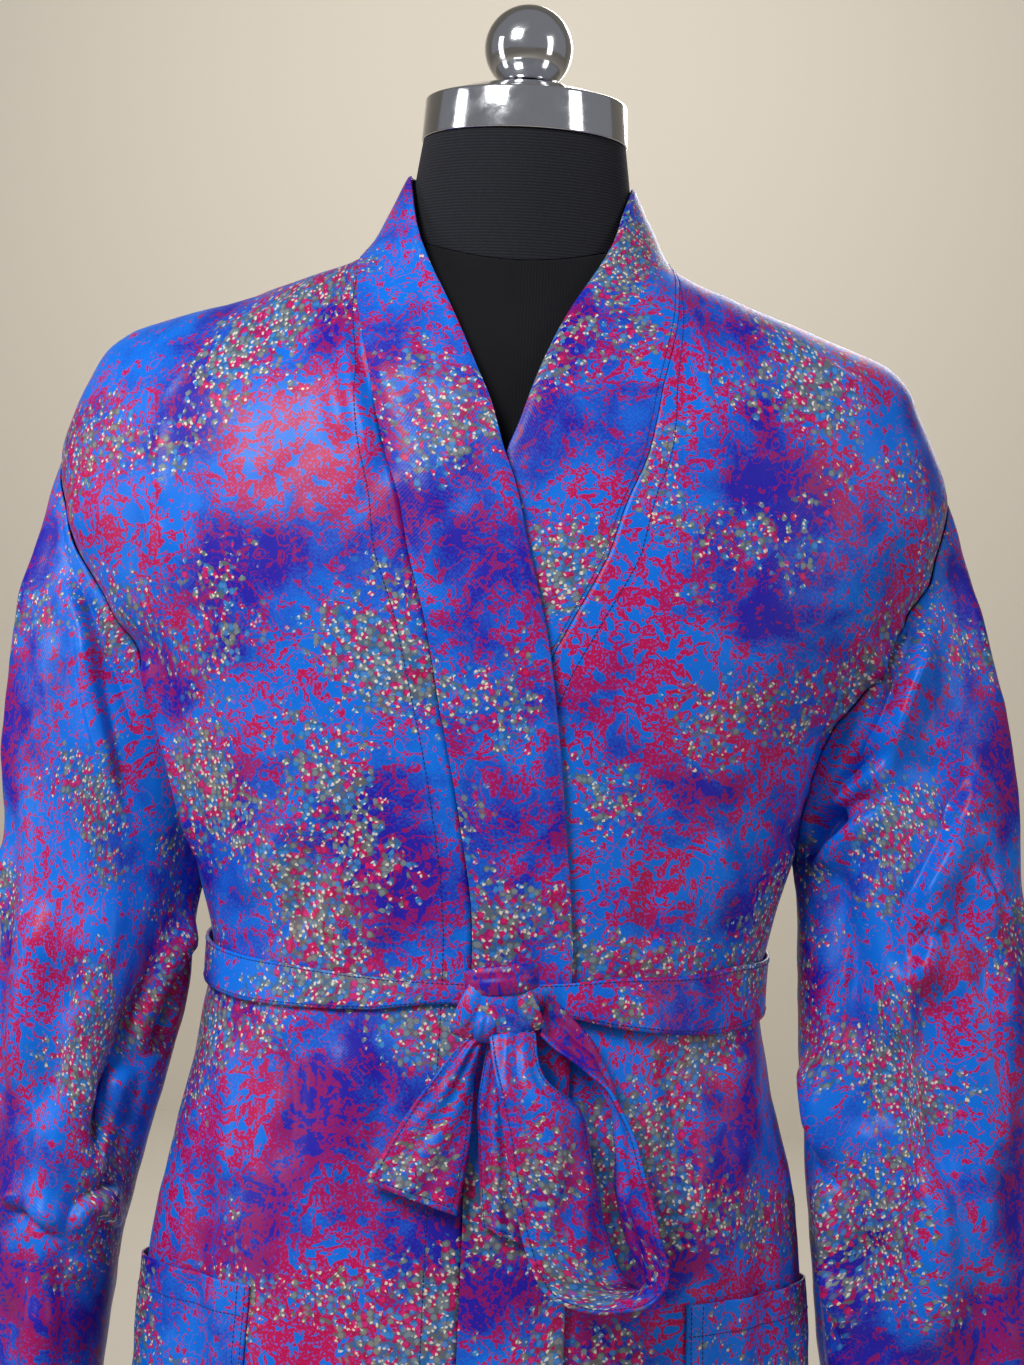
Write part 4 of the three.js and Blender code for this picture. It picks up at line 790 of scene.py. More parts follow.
# %% [markdown]
# ## Jersey, steel and thread
#
# **Jersey** is a fine knit: it has no gloss, and rows of loops too small to see one by one. The neck is
# covered with the same knit in a ribbed, greyer quality. **Polished steel** is a mirror with a slight haze
# where it was wiped. **Powder coated steel** is dark and has a fine orange peel. The **polyester thread** is
# twisted, a shade darker than the cloth.

# %% Jersey, steel, paint and thread
KNIT_ROW = 1.8  # a real row of loops is 0.7 mm; drawn coarser so that it shows
RIB = 1.8
FUZZ_SIZE = 3
HAZE_SIZE = 14
PEEL_SIZE = 1.6
TWIST = 0.9


def knit(name, light, dark, spacing, direction, depth):
    """A knitted cover; its rows run along or across the piece."""
    material, tree, shader = blank(name, Roughness=0.85, Specular_IOR_Level=0.18, Sheen_Weight=0.06,
                                   Sheen_Roughness=0.6)
    place = millimetres(tree)
    rows = node(tree, "TexWave", {"Vector": place, "Scale": math.pi / (10 * spacing), "Distortion": 0.6,
                                  "Detail Scale": 0.5}, 1, bands_direction=direction)
    fuzz = node(tree, "TexNoise", {"Vector": place, "Scale": 1 / FUZZ_SIZE, "Detail": 4, "Roughness": 0.7})
    share = node(tree, "Math", {0: rows, 1: fuzz}, operation="MULTIPLY")
    colour = node(tree, "Mix", {0: share, 6: linear(dark), 7: linear(light)}, 2, data_type="RGBA")
    tree.links.new(colour, shader.inputs["Base Color"])
    bump = node(tree, "Bump", {"Height": share, "Strength": 0.5, "Distance": depth * MM})
    tree.links.new(bump, shader.inputs["Normal"])
    return material


jersey = knit("black jersey", "17181f", "060609", KNIT_ROW, "X", 0.25)
ribbed = knit("ribbed charcoal jersey", "30313a", "15161c", RIB, "Y", 0.4)

polished, tree, shader = blank("polished steel", Metallic=1.0, Base_Color=linear("ecedf0"))
place = millimetres(tree)
haze = node(tree, "TexNoise", {"Vector": place, "Scale": 1 / HAZE_SIZE, "Detail": 5, "Roughness": 0.65})
haze = node(tree, "MapRange", {0: haze, 1: 0.42, 2: 0.7, 3: 0.08, 4: 0.2})
tree.links.new(haze, shader.inputs["Roughness"])

painted, tree, shader = blank("powder coated steel", Roughness=0.5, IOR=1.5)
place = millimetres(tree)
peel = node(tree, "TexNoise", {"Vector": place, "Scale": 1 / PEEL_SIZE, "Detail": 1})
coat = node(tree, "Mix", {0: peel, 6: linear("141418"), 7: linear("26262c")}, 2, data_type="RGBA")
tree.links.new(coat, shader.inputs["Base Color"])
bump = node(tree, "Bump", {"Height": peel, "Strength": 0.3, "Distance": 0.0002})
tree.links.new(bump, shader.inputs["Normal"])

thread, tree, shader = blank("polyester thread", Roughness=0.45, IOR=1.5)
place = node(tree, "TexCoord", out=3)
place = node(tree, "VectorMath", {0: place, "Scale": 1000}, operation="SCALE")
twist = node(tree, "TexWave", {"Vector": place, "Scale": math.pi / (5 * math.sqrt(2) * TWIST)}, 1,
             bands_direction="DIAGONAL")
colour = node(tree, "Mix", {0: twist, 6: linear("0c1248"), 7: linear("24308c")}, 2, data_type="RGBA")
tree.links.new(colour, shader.inputs["Base Color"])
print(len(bpy.data.materials), "materials")

# %% Fronts and back
FRONT_COLUMNS = 104
BACK_COLUMNS = 120
FRONT_WIDTH = 230  # millimetres across a front, on the whole
SEAM_ALLOWANCE = 11.5  # the band's inner edge is sewn down this far beside its seam
HEM_TURN = 24
hem_row = len(LEVELS) - 1 - HEM_TURN / COARSE_STEP


def front_places(arm, levels, shares):
    """The levels and angles of a front at some levels and shares of its width."""
    side = arm["side"]
    seam = band_at(arm["band"], "seam", levels)
    outer = side * (side_seam(levels) - armhole_span(levels))
    first = seam + side * gap_degrees(levels, seam, SEAM_GAP / 2)
    last = outer - side * gap_degrees(levels, outer, SEAM_GAP / 2)
    level = np.repeat(levels[:, None], len(shares), 1)
    return level, lerp(first[:, None], last[:, None], shares[None, :])


for name, arm in SIDES.items():
    level, degrees = front_places(arm, LEVELS, np.linspace(0, 1, FRONT_COLUMNS))
    piece, arm["front"] = cloth_on_body("front_" + name + "_cloth", level, degrees,
                                        arm["offset"](level, degrees) + WALL, SHEET,
                                        on_roll("front", arm["side"]))
    dress(piece, satin, "silk", "front_" + name)
    cut(piece, arm["front"], "draped", "form_torso")
    sew(arm["front"], np.arange(len(LEVELS)), SEAM_ALLOWANCE * FRONT_COLUMNS / FRONT_WIDTH, arm["side"])
    sew(arm["front"], hem_row, np.arange(FRONT_COLUMNS), arm["side"])

back_levels = np.append(NECK_SEAM + 0.02, LEVELS[1:])
limit = side_seam(back_levels) + armhole_span(back_levels)
gap = gap_degrees(back_levels, limit, SEAM_GAP / 2)
shares = np.linspace(0, 1, BACK_COLUMNS)
degrees = lerp((limit + gap)[:, None], (360 - limit - gap)[:, None], shares[None, :])
level = np.repeat(back_levels[:, None], BACK_COLUMNS, 1)
piece, back_points = cloth_on_body("back_cloth", level, degrees, CLOTH_OFFSET + WALL, SHEET,
                                   on_roll("back"))
dress(piece, satin, "silk", "back")
cut(piece, back_points, "draped", "form_torso")
sew(back_points, hem_row, np.arange(BACK_COLUMNS))

# %% The neckband
BAND_COLUMNS = 22
COLLAR_ROWS = 44
BAND_ROLL = 1.1  # how far the folded edge rolls under
BAND_STITCHING = 3.4  # columns from the seam
SEAM_RISE = 0.02


def neckband(name, arm):
    """The doubled band, from the centre back round the neck and down the front."""
    side = arm["side"]
    share = np.linspace(0, 0.96, COLLAR_ROWS)
    seam = side * lerp(180 - CENTRE_GAP, SHOULDER_TURN, share)
    edge = side * lerp(180 - CENTRE_GAP, COLLAR_TURN, share)
    collar = [np.full(COLLAR_ROWS, NECK_SEAM - SEAM_RISE), seam, np.zeros(COLLAR_ROWS), edge]
    front_seam = band_at(arm["band"], "seam", LEVELS)
    front_seam = front_seam - side * gap_degrees(LEVELS, front_seam, SEAM_GAP / 2)
    front = [np.append(NECK_SEAM - SEAM_RISE, LEVELS[1:]), front_seam,
             band_at(arm["band"], "edgeLevel", LEVELS), band_at(arm["band"], "edge", LEVELS)]
    seam_level, seam, edge_level, edge = (np.concatenate(pair)[:, None] for pair in zip(collar, front))
    across = (0.5 - 0.5 * np.cos(np.linspace(0, np.pi, BAND_COLUMNS)))[None, :]
    level = lerp(edge_level, seam_level, across)
    degrees = lerp(edge, seam, across)
    puff = 0.5 * np.sin(np.pi * across) ** 0.7 - BAND_ROLL * (1 - smooth(across, 0, 0.05))
    offset = arm["offset"](level, degrees) + BAND_WALL + puff
    return cloth_on_body(name, level, degrees, offset, BAND_WALL - DOUBLED_LESS,
                         on_roll("neckband", side), hung=False)


for name, arm in SIDES.items():
    piece, arm["band_points"] = neckband("neckband_" + name + "_cloth", arm)
    dress(piece, satin, "silk", "neckband_" + name)
    cut(piece, arm["band_points"], "folded", "front_" + name + "_cloth", "form_torso")
    sew(arm["band_points"], np.arange(len(arm["band_points"])), BAND_COLUMNS - BAND_STITCHING, -arm["side"])

# %% [markdown]
# ## Sleeves
#
# A sleeve is a tube that starts at the armhole. On the shoulder it runs on from the body, under the arm it
# turns right back along it. The start is therefore a curve whose direction changes round the armhole, and
# a smooth blend leads from it to the full rings of the arm.

# %% The sleeves' rings and folds
HEAD_SHARE = 0.2  # the part of a sleeve's length that blends from the armhole to the rings
HEAD_PUFF = 0.15
# The outermost and innermost line of each sleeve, at shares v of its length, with its half depth and how far
# its middle lies forward.
ARMS = {
    "right": table("v outerX outerZ innerX innerZ deep mid", [
        [0, -267, 1345, -172, 1098, 32, 0], [0.12, -281, 1284, -179, 1052, 42, -2],
        [0.3, -290, 1196, -187, 1006, 52, -4], [0.5, -291, 1080, -202, 945, 57, -4],
        [0.7, -288, 962, -215, 884, 58, -2], [0.85, -290, 850, -224, 805, 57, 0],
        [1, -297, 747, -229, 722, 57, 0],
    ]),
    "left": table("v outerX outerZ innerX innerZ deep mid", [
        [0, 261, 1343, 177, 1128, 32, 0], [0.12, 280, 1284, 186, 1086, 44, -2],
        [0.3, 301, 1196, 190, 1022, 54, -6], [0.5, 320, 1078, 197, 950, 58, -8],
        [0.7, 336, 960, 204, 880, 58, -6], [0.85, 346, 850, 214, 806, 55, -4],
        [1, 352, 747, 224, 722, 52, -2],
    ]),
}
ARM_FOLDS = {
    "right": table("at to start end half deep", [
        [150, 122, 0.06, 0.7, 22, -20], [100, 92, 0.12, 1, 18, 5], [40, 30, 0.3, 0.8, 16, -5],
        [236, 230, 0.2, 1, 24, -11], [300, 306, 0.25, 1, 20, -8],
    ]),
    "left": table("at to start end half deep", [
        [136, 122, 0.02, 0.42, 18, -11], [150, 148, 0.35, 1, 18, 5], [60, 48, 0.2, 0.9, 16, -6],
        [98, 100, 0.1, 0.9, 16, 6], [232, 228, 0.2, 1, 24, -14], [296, 300, 0.25, 1, 20, -9],
    ]),
}
ARM_COLUMNS = 152
ARM_ROWS = 230
ARM_STEP = 2.6  # millimetres from row to row
print("sleeve grids of", ARM_ROWS, "rows and", ARM_COLUMNS, "columns")


# %% From the rings to a sleeve
def sleeve_ring(name, v, degrees):
    """A place on a sleeve; degrees go from outside over the front to the body."""
    rows, side = ARMS[name], SIDES[name]["side"]
    v, degrees = np.broadcast_arrays(v, degrees)
    at = row_at(rows, "v", v)
    height = fold_height(ARM_FOLDS[name], v, degrees, 1)
    sine, cosine = np.sin(np.radians(degrees)), np.cos(np.radians(degrees))
    out = (1 + cosine) / 2
    deep = sample(rows, "deep", at) + height * np.abs(sine)
    return np.stack([
        lerp(sample(rows, "innerX", at), sample(rows, "outerX", at), out) + side * height * cosine,
        sample(rows, "mid", at) - deep * sine,
        lerp(sample(rows, "innerZ", at), sample(rows, "outerZ", at), out),
    ], -1)


def sleeve_head(name, degrees):
    """The start of a sleeve: points, the way the cloth sets off, outward directions, the body's creases."""
    side = SIDES[name]["side"]
    level = lerp(ARMHOLE_TOP, ARMHOLE_FOOT, (1 - np.cos(np.radians(degrees))) / 2)
    ahead = np.where(degrees <= 180, -1, 1) * armhole_span(level)
    angle = side * (side_seam(level) + ahead)
    out = normal_of(draped_body, level, angle, HEM)
    point = on_body(level, angle, CLOTH_OFFSET + WALL / 2)
    seam = unit(np.roll(point, -1, 0) - np.roll(point, 1, 0))
    into = unit(np.cross(out, seam) * side)
    chord = sleeve_ring(name, HEAD_SHARE, degrees) - point
    turn = np.arctan2((chord * out).sum(-1), (chord * into).sum(-1))
    turn = np.maximum(turn, 0)[:, None]
    step = (WALL / 2 + SEAM_GAP) * np.sin(np.minimum(turn, np.pi / 2))
    step = step - WALL / 2 * np.minimum(np.cos(turn), 0)
    normal = out * np.cos(turn) - into * np.sin(turn)
    start = point + out * step + into * SEAM_GAP * (1 + np.cos(turn)) / 2 - normal * WALL / 2
    shift = creased(point, out) - point
    return start, chord + out * HEAD_PUFF * np.linalg.norm(chord, axis=-1, keepdims=True), normal, shift


def sleeve(name):
    """A whole sleeve as grids of its outer face, creased and smooth, from the seam under the arm."""
    side = SIDES[name]["side"]
    degrees = (180 + np.arange(ARM_COLUMNS) * 360 / ARM_COLUMNS) % 360
    v = np.linspace(0, 1, ARM_ROWS)[:, None]
    start, away, head_normal, shift = sleeve_head(name, degrees)
    ring = sleeve_ring(name, HEAD_SHARE, degrees)
    after = (sleeve_ring(name, HEAD_SHARE + 0.01, degrees) - ring) * 100 * HEAD_SHARE
    u = np.clip(v / HEAD_SHARE, 0, 1)[..., None]
    head = (start * (1 + u * u * (2 * u - 3)) + away * u * (1 - u) ** 2
            + ring * u * u * (3 - 2 * u) + after * u * u * (u - 1))
    rings = sleeve_ring(name, np.maximum(v, HEAD_SHARE), degrees)
    points = np.where((v >= HEAD_SHARE)[..., None], rings, head)
    normals = grid_normals(points, wrap=True) * -side
    normals = unit(lerp(head_normal[None], normals, smooth(v, 0, 0.06)[..., None]))
    smooth_cloth = points + WALL * normals
    moved = creased(smooth_cloth, normals) - smooth_cloth
    return smooth_cloth + lerp(shift[None], moved, smooth(v, 0, 0.07)[..., None]), smooth_cloth


for name, arm in SIDES.items():
    arm["sleeve"], smooth_cloth = sleeve(name)
    flat = flat_cloth(smooth_cloth)
    corner = on_roll("sleeve")
    flat[..., 0] += corner[0] - flat[:, ARM_COLUMNS // 2, 0][:, None]  # the grain runs down the outside
    flat[..., 1] += corner[1] + smooth_cloth[:1, :, 2]
    piece = grid_mesh("sleeve_" + name + "_cloth", arm["sleeve"], flat, wrap=True, flip=arm["side"] < 0)
    dress(thicken(piece, SHEET), satin, "silk", "sleeve_" + name)
    cut(piece, arm["sleeve"], "hung", "front_" + name + "_cloth", wrap=True)
    sew(arm["sleeve"], ARM_ROWS - 1 - HEM_TURN / ARM_STEP, np.arange(ARM_COLUMNS), -arm["side"])

# %% [markdown]
# ## Pockets and sash
#
# A patch pocket lies on its front and gapes a little at the mouth. The sash is a strip of doubled cloth that
# follows the waist, pulled narrower towards the knot.

# %% Patch pockets
POCKET_LEVELS = np.array([14.76, 15.1, 15.5, 16, 16.55])
POCKET_SHARES = (0.36, 0.905)
POCKET_GAP = 0.5
MOUTH_GAP = 3.4
POCKET_ROWS, POCKET_COLUMNS = 72, 60
POCKET_HEM_ROW = 12.5  # 30 mm below the mouth
DOUBLE_STITCHING = (1, 3.6)  # rows or columns from the edge
for name, arm in SIDES.items():
    rows = np.linspace(0, 4, POCKET_ROWS)
    levels = np.interp(rows, np.arange(5), POCKET_LEVELS)
    across = np.linspace(0, 1, POCKET_COLUMNS)
    level, degrees = front_places(arm, levels, lerp(*POCKET_SHARES, across))
    stand = MOUTH_GAP * np.sin(np.pi * across)[None, :] * np.maximum(0, 1 - rows / 2)[:, None]
    offset = arm["offset"](level, degrees) + 2 * WALL + POCKET_GAP + stand
    piece, arm["pocket"] = cloth_on_body("pocket_" + name + "_cloth", level, degrees, offset, SHEET,
                                         on_roll("pocket", arm["side"]))
    dress(piece, satin, "silk", "pocket_" + name)
    cut(piece, arm["pocket"], "laid", "front_" + name + "_cloth")
    rows, columns = np.arange(POCKET_ROWS), np.arange(POCKET_COLUMNS)
    for inside in DOUBLE_STITCHING:
        for side_column in (inside, POCKET_COLUMNS - 1 - inside):
            sew(arm["pocket"], rows, side_column, arm["side"])
        sew(arm["pocket"], POCKET_ROWS - 1 - inside, columns, arm["side"])
    sew(arm["pocket"], POCKET_HEM_ROW, columns, arm["side"])

# %% The sash round the waist
# The width of the sash and the height of its middle at some angles.
SASH = table("at width mid", [
    [0, 13, 1048], [12, 19, 1047], [24, 30, 1046], [42, 36, 1045], [58, 38, 1048], [86, 35, 1052],
    [140, 40, 1059], [180, 40, 1062], [220, 37, 1060], [272, 27, 1055], [300, 26, 1049],
    [320, 25, 1047], [341, 19, 1046], [352, 13, 1048], [360, 13, 1048],
])
SASH_GAP = 0.9
SASH_CROWN = 0.8
SASH_WALL = 2.0
SASH_COLUMNS, SASH_ROWS = 260, 15


def outside(level, degrees):
    """The distance of the robe's outermost face at the front."""
    far = OVERLAP_LIFT * smooth(-degrees, -60, -24)
    return CLOTH_OFFSET + BAND_WALL + np.where(degrees > 24, far, overlap(level, degrees))


stations = np.arange(SASH_COLUMNS) * 360 / SASH_COLUMNS
turned = np.where(stations > 180, stations - 360, stations)
at = row_at(SASH, "at", stations)
across = np.linspace(0, 1, SASH_ROWS)[:, None]
height = sample(SASH, "mid", at) + sample(SASH, "width", at) * (0.5 - across)
level = level_at(turned[None, :], height)
degrees = np.repeat(turned[None, :], SASH_ROWS, 0)
crown = SASH_CROWN * (1 - (2 * across - 1) ** 2)
sash_points = on_body(level, degrees, outside(level, degrees) + SASH_GAP + SASH_WALL + crown)
sash_piece = grid_mesh("sash_cloth", sash_points, flat_cloth(sash_points, on_roll("sash")), wrap=True)
dress(thicken(sash_piece, SASH_WALL - DOUBLED_LESS), satin, "silk", "sash")
for row in (1, SASH_ROWS - 2):
    sew(sash_points, row, np.arange(SASH_COLUMNS))


# %% The half bow
def in_front(x, z, out):
    """A point at a distance in front of the robe, at a width and height."""
    level, degrees = locate(x, z)
    surface = on_body(level, degrees, outside(level, degrees))
    return np.stack([x, surface[..., 1] - out, z], -1)


RIBBON = "aX aZ aOut bX bZ bOut ridge rise"
# Two edge lines with their distance in front of the robe, where the ridge between them lies and its height.
RIBBONS = {
    "bow_loop": table(RIBBON, [
        [2, 1028.4, 22, 28, 1030.5, 20, 0.5, 3], [7, 1005, 34, 33, 1008, 26, 0.6, 3],
        [11, 983, 36, 54, 990, 20, 0.68, 9], [16, 957, 36, 63, 957, 18, 0.68, 9],
        [23, 928, 34, 70, 928, 17, 0.72, 6], [32, 901, 33, 79, 904, 15, 0.5, 4],
        [47, 885, 33, 88, 892, 11, 0.5, 4], [76, 880, 34, 96, 887, 8, 0.5, 3],
        [101, 887, 36, 98, 893, 5, 0.5, 3], [108, 904, 38, 90, 908, 4, 0.5, 3],
        [100, 932, 38, 80, 932, 4, 0.5, 3], [91, 962, 36, 77, 960, 4, 0.5, 3],
        [79, 992, 32, 76, 990, 4, 0.5, 3], [62, 1010, 27, 68, 1015, 4, 0.5, 3],
        [45, 1020, 22, 52, 1036, 5, 0.5, 3], [31, 1030, 17, 35, 1052, 6, 0.5, 3],
    ]),
    "tail_right": table(RIBBON, [
        [-8, 1029.3, 13, 1, 1026.2, 13, 0.5, 2], [-14, 1022, 12, -2, 1019, 12, 0.5, 3],
        [-25, 1008, 12, -5, 1002, 9, 0.5, 3], [-37, 990, 11, -5, 986, 8, 0.5, 3],
        [-50, 968, 9, -6, 960, 9, 0.5, 3], [-63, 944, 8, -11, 928, 10, 0.5, 3],
    ]),
    "tail_left": table(RIBBON, [
        [2, 1025, 10, 13, 1025, 10, 0.5, 2], [-2, 990, 4, 17, 990, 8, 0.5, 3],
        [0, 957, 4, 21, 957, 7, 0.5, 3], [3, 922, 4, 27, 914, 7, 0.5, 3],
    ]),
}
RIPPLE = 1.1
RIBBON_COLUMNS = 25
RIBBON_STITCHING = 1.6  # columns from either edge


def ribbon(name, stations):
    """A hanging part of the sash between two edge lines, with a soft ridge along it."""
    rows = RIBBONS[name]
    at = np.linspace(0, len(rows["aX"]) - 1, stations)
    a, b = (in_front(*(sample(rows, edge + axis, at) for axis in ("X", "Z", "Out"))) for edge in "ab")
    normal = unit(np.cross(np.gradient(a + b, axis=0), b - a))[:, None]
    share = np.linspace(0, 1, RIBBON_COLUMNS)[None, :, None]
    ridge = sample(rows, "ridge", at)[:, None, None]
    side = np.where(share < ridge, share / ridge, (1 - share) / (1 - ridge))
    rise = sample(rows, "rise", at)[:, None, None] * (1 - (1 - side) ** 2)
    along = at[:, None, None]
    turn = 2 * np.pi * (share * 2.3 + along * 0.31 + len(name) * 0.17)
    rise = rise + RIPPLE * np.sin(turn + 0.8 * np.sin(along * 1.7)) * np.sin(np.pi * share) ** 0.5
    rise = rise + 0.5 * RIPPLE * np.sin(2 * np.pi * (share * 0.9 - along * 0.83) + 1)
    return lerp(a[:, None], b[:, None], share) + normal * rise + normal * SASH_WALL


for name, count in (("bow_loop", 200), ("tail_right", 60), ("tail_left", 60)):
    points = ribbon(name, count)
    piece = grid_mesh(name + "_cloth", points, flat_cloth(points, on_roll("bow"), bent=True))
    dress(thicken(piece, SASH_WALL - DOUBLED_LESS), satin, "silk", name)
    cut(piece, points, "hung", "knot")
    for column in (RIBBON_STITCHING, RIBBON_COLUMNS - 1 - RIBBON_STITCHING):
        sew(points, np.arange(count), column)
    if name != "bow_loop":
        sew(points, count - 3, np.arange(2, RIBBON_COLUMNS - 1))

# %% The knot
KNOT = {"x": 7, "z": 1047, "halfWidth": 24, "halfDepth": 13, "halfHeight": 22}
# Each wrap's tilt and middle, its reach to either end and outwards, its half width, the angles that it spans
# and where its dent runs.
WRAPS = table("tilt x z reach out half start end dent", [
    [8, 1, 13, 21, 13, 8.5, -96, 92, 0.25], [66, -14, -3, 19, 10, 8.5, -92, 100, -0.3],
    [-32, 1, -8, 21, 12, 8, -95, 92, 0.1], [-64, 14, 0, 17, 9, 7, -92, 92, 0.3],
    [84, -7, -12, 11, 14, 6, -80, 80, 0],
])
KNOT_SEAT = -0.1
WRAP_STEP = 90  # each wrap shows the next stretch of the sash
WRAP_PUFF, DENT_DEPTH, DENT_WIDTH, WRAP_SEAT = 2.6, 1.1, 0.22, 2.4
knot_back = in_front(np.array([KNOT["x"]]), np.array([KNOT["z"]]),
                     SASH_GAP + SASH_CROWN + SASH_WALL + KNOT_SEAT)[0, 1]


def wrap_round(tilt, x, z, reach, out, half, start, end, dent):
    """One turn of the sash over the knot: a puffed strip that bends round in front."""
    turn = np.radians(np.linspace(start, end, 56))[:, None]
    across = np.linspace(-1, 1, 19)[None, :]
    width = half * (0.62 + 0.38 * np.cos(turn)) * across
    along = reach * np.sin(turn) + 0 * across
    crown = WRAP_PUFF * (1 - across**2)
    crown = crown - DENT_DEPTH * np.exp(-(((across - dent) / DENT_WIDTH) ** 2)) * np.cos(turn)
    ahead = KNOT["halfDepth"] + out * np.cos(turn) + crown * (0.35 + 0.65 * np.cos(turn)) - WRAP_SEAT
    lean = math.radians(tilt)
    return np.stack([
        KNOT["x"] + x + along * math.cos(lean) - width * math.sin(lean),
        knot_back - ahead,
        KNOT["z"] + z + along * math.sin(lean) + width * math.cos(lean),
    ], -1)


polar = np.radians(np.linspace(4, 176, 40))[:, None]
around = np.radians(np.arange(60) * 6)[None, :]
core = np.stack([
    KNOT["x"] + 0.78 * KNOT["halfWidth"] * np.sin(polar) * np.sin(around),
    knot_back - KNOT["halfDepth"] * (1 + 0.8 * np.sin(polar) * np.cos(around)),
    KNOT["z"] + 0.8 * KNOT["halfHeight"] * np.cos(polar) + 0 * around,
], -1)
knot_pieces = [grid_mesh("knot_core_cloth", core, flat_cloth(core, on_roll("knot")), wrap=True)]
for number, row in enumerate(zip(*WRAPS.values())):
    points = wrap_round(*row)
    flat = flat_cloth(points, on_roll("wrap")) + [WRAP_STEP * number, 0]
    strip = grid_mesh(f"knot_wrap_{number + 1}_cloth", points, flat)
    knot_pieces.append(thicken(strip, SASH_WALL - DOUBLED_LESS))
for piece in knot_pieces:
    dress(piece, satin, "silk", "knot")
cut(sash_piece, sash_points, "draped", "front_left_cloth", "front_right_cloth", "back_cloth", wrap=True,
    pieces=knot_pieces)

# %% [markdown]
# ## The dress form and its stand
#
# The torso is padded and covered with black jersey, the neck with a ribbed one. A pressed steel cap with a
# rolled edge closes the neck and carries a ball. All of these are turned or lofted shapes.

# %% Torso and neck
def even_rings(rows):
    """Rings that are alike on the right and the left."""
    rings = table("right rightZ front frontZ back backZ square", rows)
    return rings | {"left": rings["right"], "leftZ": rings["rightZ"]}


FORM_RINGS = even_rings([
    [69, 1487, 66, 1470, 68, 1492, 2.0], [84, 1474, 78, 1445, 80, 1482, 2.0],
    [121, 1461, 98, 1412, 94, 1455, 2.0], [170, 1443.2, 110, 1380, 105, 1425, 2.05],
    [219, 1422, 117, 1350, 111, 1393, 2.15], [228, 1402, 120, 1325, 114, 1366, 2.2],
    [224, 1350, 122, 1290, 115, 1330, 2.3], [205, 1290, 121, 1250, 114, 1288, 2.3],
    [184, 1232, 118, 1212, 111, 1232, 2.3], [170, 1165, 112, 1158, 105, 1166, 2.3],
    [160, 1100, 106, 1100, 99, 1100, 2.3], [156, 1058, 104, 1058, 96, 1058, 2.3],
    [163, 1000, 108, 1000, 103, 1000, 2.3], [170, 930, 112, 930, 110, 930, 2.3],
    [172, 870, 112, 870, 112, 870, 2.3], [166, 812, 106, 812, 106, 812, 2.3],
])
NECK_RINGS = even_rings([
    [61, 1548, 60, 1548, 60, 1548, 2.0], [64, 1527, 62, 1524, 62, 1529, 2.0],
    [66.5, 1506, 64, 1498, 65, 1510, 2.0], [69, 1487.4, 66, 1470.4, 68, 1492.4, 2.0],
])


def closed_loft(name, points):
    """A closed body from rings, with its first and last ring drawn in to a point."""
    ends = [points[i].mean(0) + 0 * points[i] for i in (0, -1)]
    near = [lerp(ends[k], points[i], 0.97) for k, i in enumerate((0, -1))]
    points = np.concatenate([[ends[0], near[0]], points, [near[1], ends[1]]])
    return grid_mesh(name, points, flat_cloth(points), wrap=True)


SEAM_SINK = 0.992
round_form = np.arange(112) * 360 / 112
torso = ring_point(FORM_RINGS, np.linspace(0, 15, 170)[:, None], round_form)
for column in (0, 56):  # the cover's seams sink in down the middle of the front and the back
    torso[:, column, 1] *= SEAM_SINK
dress(closed_loft("form_torso_jersey", torso), jersey, "jersey", "form_torso")
neck = ring_point(NECK_RINGS, np.linspace(0, 3, 60)[:, None], round_form)
dress(closed_loft("form_neck_jersey", neck), ribbed, "jersey", "form_neck")


# %% Cap, ball and stand
def turned_piece(name, profile, stations=96):
    """A body turned about the upright axis from a profile of radii and heights."""
    radius, height = np.array(profile, float).T
    turn = np.arange(stations) * 2 * np.pi / stations
    points = np.stack([radius[:, None] * np.sin(turn), -radius[:, None] * np.cos(turn),
                       height[:, None] + 0 * turn], -1)
    return grid_mesh(name, points, flat_cloth(points), wrap=True)


def rounded(profile, radius=1.0, steps=3):
    """A profile with its inner corners rounded."""
    points = [np.array(p, float) for p in profile]
    made = [points[0]]
    for before, corner, after in zip(points, points[1:], points[2:]):
        reach = min(radius, 0.45 * np.linalg.norm(before - corner), 0.45 * np.linalg.norm(after - corner))
        a = corner + unit(before - corner) * reach
        b = corner + unit(after - corner) * reach
        made += [lerp(lerp(a, corner, t), lerp(corner, b, t), t) for t in np.linspace(0, 1, steps + 1)]
    return made + [points[-1]]


CAP_BOTTOM, CAP_HEIGHT, CAP_RADIUS, DOME_RISE, DOME_RADIUS = 1548.4, 25.5, 62, 12, 56
BALL_RADIUS, BALL_CENTRE = 26.5, 1606.5
rim = CAP_BOTTOM + CAP_HEIGHT
dome = [(DOME_RADIUS * math.cos(a), rim + DOME_RISE * (1 - math.cos(a) ** 2))
        for a in np.linspace(0, np.pi / 2, 16)]
cap = rounded([(0, CAP_BOTTOM), (CAP_RADIUS, CAP_BOTTOM), (CAP_RADIUS - 1.4, rim - 1), (CAP_RADIUS - 3, rim)]
              + dome[:1]) + dome[1:]
cap.reverse()
dress(turned_piece("neck_cap_steel", cap), polished, "polished", "neck_cap")

foot = CAP_BOTTOM + CAP_HEIGHT + DOME_RISE + 0.3
start = math.acos((BALL_CENTRE - foot) / BALL_RADIUS)
turns = np.linspace(0, np.pi - start, 40)
ball = [(BALL_RADIUS * math.sin(t), BALL_CENTRE + BALL_RADIUS * math.cos(t)) for t in turns] + [(0, foot)]
dress(turned_piece("cap_ball_steel", ball), polished, "polished", "cap_ball")

